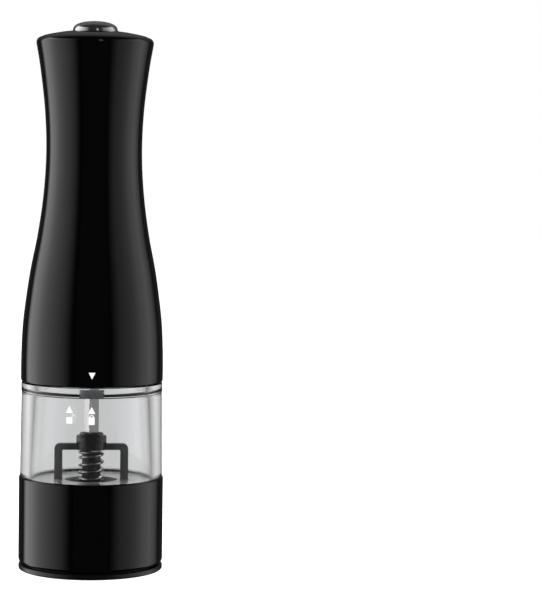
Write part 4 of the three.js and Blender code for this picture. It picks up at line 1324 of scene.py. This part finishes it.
class MILL_OT_studio(bpy.types.Operator):
    """Set up the pale floor, two curved side panels, the top lights, the world and the camera"""

    bl_idname = "mill.studio"
    bl_label = "Studio"

    def execute(self, context):
        scene = context.scene
        self.floor()
        self.panel("left_panel", -1, LEFT_PANEL, PANEL_RADIUS, PANEL_FOOT, PANEL_TOP)
        self.panel("right_panel", 1, RIGHT_PANEL, PANEL_RADIUS, PANEL_FOOT, PANEL_TOP)
        crown = high("push_button")
        self.panel("front_strip", 1, FRONT_STRIP, STRIP_RADIUS, crown + STRIP_FOOT, crown + STRIP_TOP)
        for light in TOP_LIGHTS:
            self.top_light(*light)
        self.world(scene)
        self.camera(scene)
        scene.view_settings.view_transform = "Standard"
        return {"FINISHED"}

    @staticmethod
    def floor():
        """A wide pale floor, out of the gloss reflections."""
        bm = bmesh.new()
        bmesh.ops.create_grid(bm, x_segments=1, y_segments=1, size=sizes().backdrop / 2)
        finish = Finish("studio_floor", Roughness=0.9, Emission_Color=(1, 1, 1), Emission_Strength=FLOOR_GLOW)
        drift = finish.noise(3, 3)
        finish.feed(Base_Color=finish.blend(drift, tuple(colours().floor), shaded(colours().floor, 1.02)))
        made = piece(bm, "studio_floor", finish.material, smooth=False)
        made.visible_glossy = False
        made.visible_diffuse = False
        made.visible_transmission = False

    @staticmethod
    def panel(name, side, stops, radius, foot, top):
        """An upright curved light panel round one side of the mill."""
        bm = bmesh.new()
        start = math.radians(stops[0][0])
        turn = Matrix.Rotation(side * start, 3, "Z")
        front = [bm.verts.new(turn @ Vector((0, -radius, height))) for height in (foot, top)]
        edge = bm.edges.new(front)
        bmesh.ops.spin(
            bm, geom=[*front, edge], cent=(0, 0, 0), axis=(0, 0, 1),
            angle=side * math.radians(stops[-1][0] - stops[0][0]), steps=48,
            use_merge=False, use_duplicate=False,
        )
        made = piece(bm, name, panel_glow(name, stops), weighted=False)
        made.visible_camera = False
        made.visible_shadow = False

    @staticmethod
    def top_light(name, place, width, power):
        """A square soft light that faces the mill's top."""
        lamp = bpy.data.lights.new(name, "AREA")
        lamp.size = width
        lamp.energy = power
        made = bpy.data.objects.new(name, lamp)
        made.location = place
        aim = TOP_LIGHT_AIM - Vector(place)
        made.rotation_euler = aim.to_track_quat("-Z", "Y").to_euler()
        made.visible_glossy = False
        bpy.context.scene.collection.objects.link(made)

    @staticmethod
    def world(scene):
        """White to the camera, dim in reflections, and pale grey straight through clear plastic."""
        scene.world = bpy.data.worlds.new("studio")
        sky = Nodes(scene.world)
        sky.tree.nodes.clear()
        seen = sky.node("ShaderNodeLightPath", output="Is_Camera_Ray")
        clear, turned_back, crossed = sky.clear_path()
        _, back, up = sky.axes(sky.node("ShaderNodeTexCoord", output="Generated"))
        overhead = sky.between(up, 0.1, 0.5) * sky.between(back, 0.0, 0.5)
        around = WORLD_AROUND + WORLD_OVERHEAD * overhead
        through = clear * (1 - turned_back * (1 - sky.between(back, 0.6, 0.9)))
        in_wall = clear * turned_back * (1 - crossed)
        indirect = (1 - through) * around + WORLD_THROUGH * through + WORLD_IN_WALL * in_wall
        strength = seen + (1 - seen) * indirect
        light = sky.node("ShaderNodeBackground", None, (1, 1, 1), strength)
        sky.node("ShaderNodeOutputWorld", None, light)

    @staticmethod
    def camera(scene):
        """Looks a little down at the mill, which stands left of the picture's middle."""
        lens = bpy.data.cameras.new("camera")
        lens.lens = CAMERA_LENS
        made = bpy.data.objects.new("camera", lens)
        made.location = CAMERA_PLACE
        yaw, pitch, roll = (math.radians(angle) for angle in CAMERA_TURN)
        turn = Matrix.Rotation(yaw, 3, "Z") @ Matrix.Rotation(pitch, 3, "X") @ Matrix.Rotation(roll, 3, "Z")
        made.rotation_euler = turn.to_euler()
        scene.collection.objects.link(made)
        scene.camera = made


# ---- Add-on -----------------------------------------------------------------------------------------------


class MILL_PT_panel(bpy.types.Panel):
    """Lists the mill's sizes, colours and operators"""

    bl_label = "Pepper Mill"
    bl_idname = "MILL_PT_panel"
    bl_space_type = "VIEW_3D"
    bl_region_type = "UI"
    bl_category = "Mill"

    def draw(self, context):
        column = self.layout.column()
        for group in (context.scene.mill_sizes, context.scene.mill_colours):
            for name in group.__annotations__:
                column.prop(group, name)
        for operator in OPERATORS:
            column.operator(operator.bl_idname)


OPERATORS = (
    MILL_OT_finishes,
    MILL_OT_studio,
    MILL_OT_shell,
    MILL_OT_button,
    MILL_OT_sleeve,
    MILL_OT_container,
    MILL_OT_marks,
    MILL_OT_bridge,
    MILL_OT_grinder,
    MILL_OT_coupler,
    MILL_OT_gearbox,
    MILL_OT_motor,
    MILL_OT_batteries,
)
CLASSES = (MillSizes, MillColours, *OPERATORS, MILL_PT_panel)


def register():
    for cls in CLASSES:
        bpy.utils.register_class(cls)
    bpy.types.Scene.mill_sizes = bpy.props.PointerProperty(type=MillSizes)
    bpy.types.Scene.mill_colours = bpy.props.PointerProperty(type=MillColours)


def unregister():
    del bpy.types.Scene.mill_colours
    del bpy.types.Scene.mill_sizes
    for cls in reversed(CLASSES):
        bpy.utils.unregister_class(cls)


def main():
    register()
    for operator in OPERATORS:
        family, name = operator.bl_idname.split(".")
        getattr(getattr(bpy.ops, family), name)()


if __name__ == "__main__":
    main()
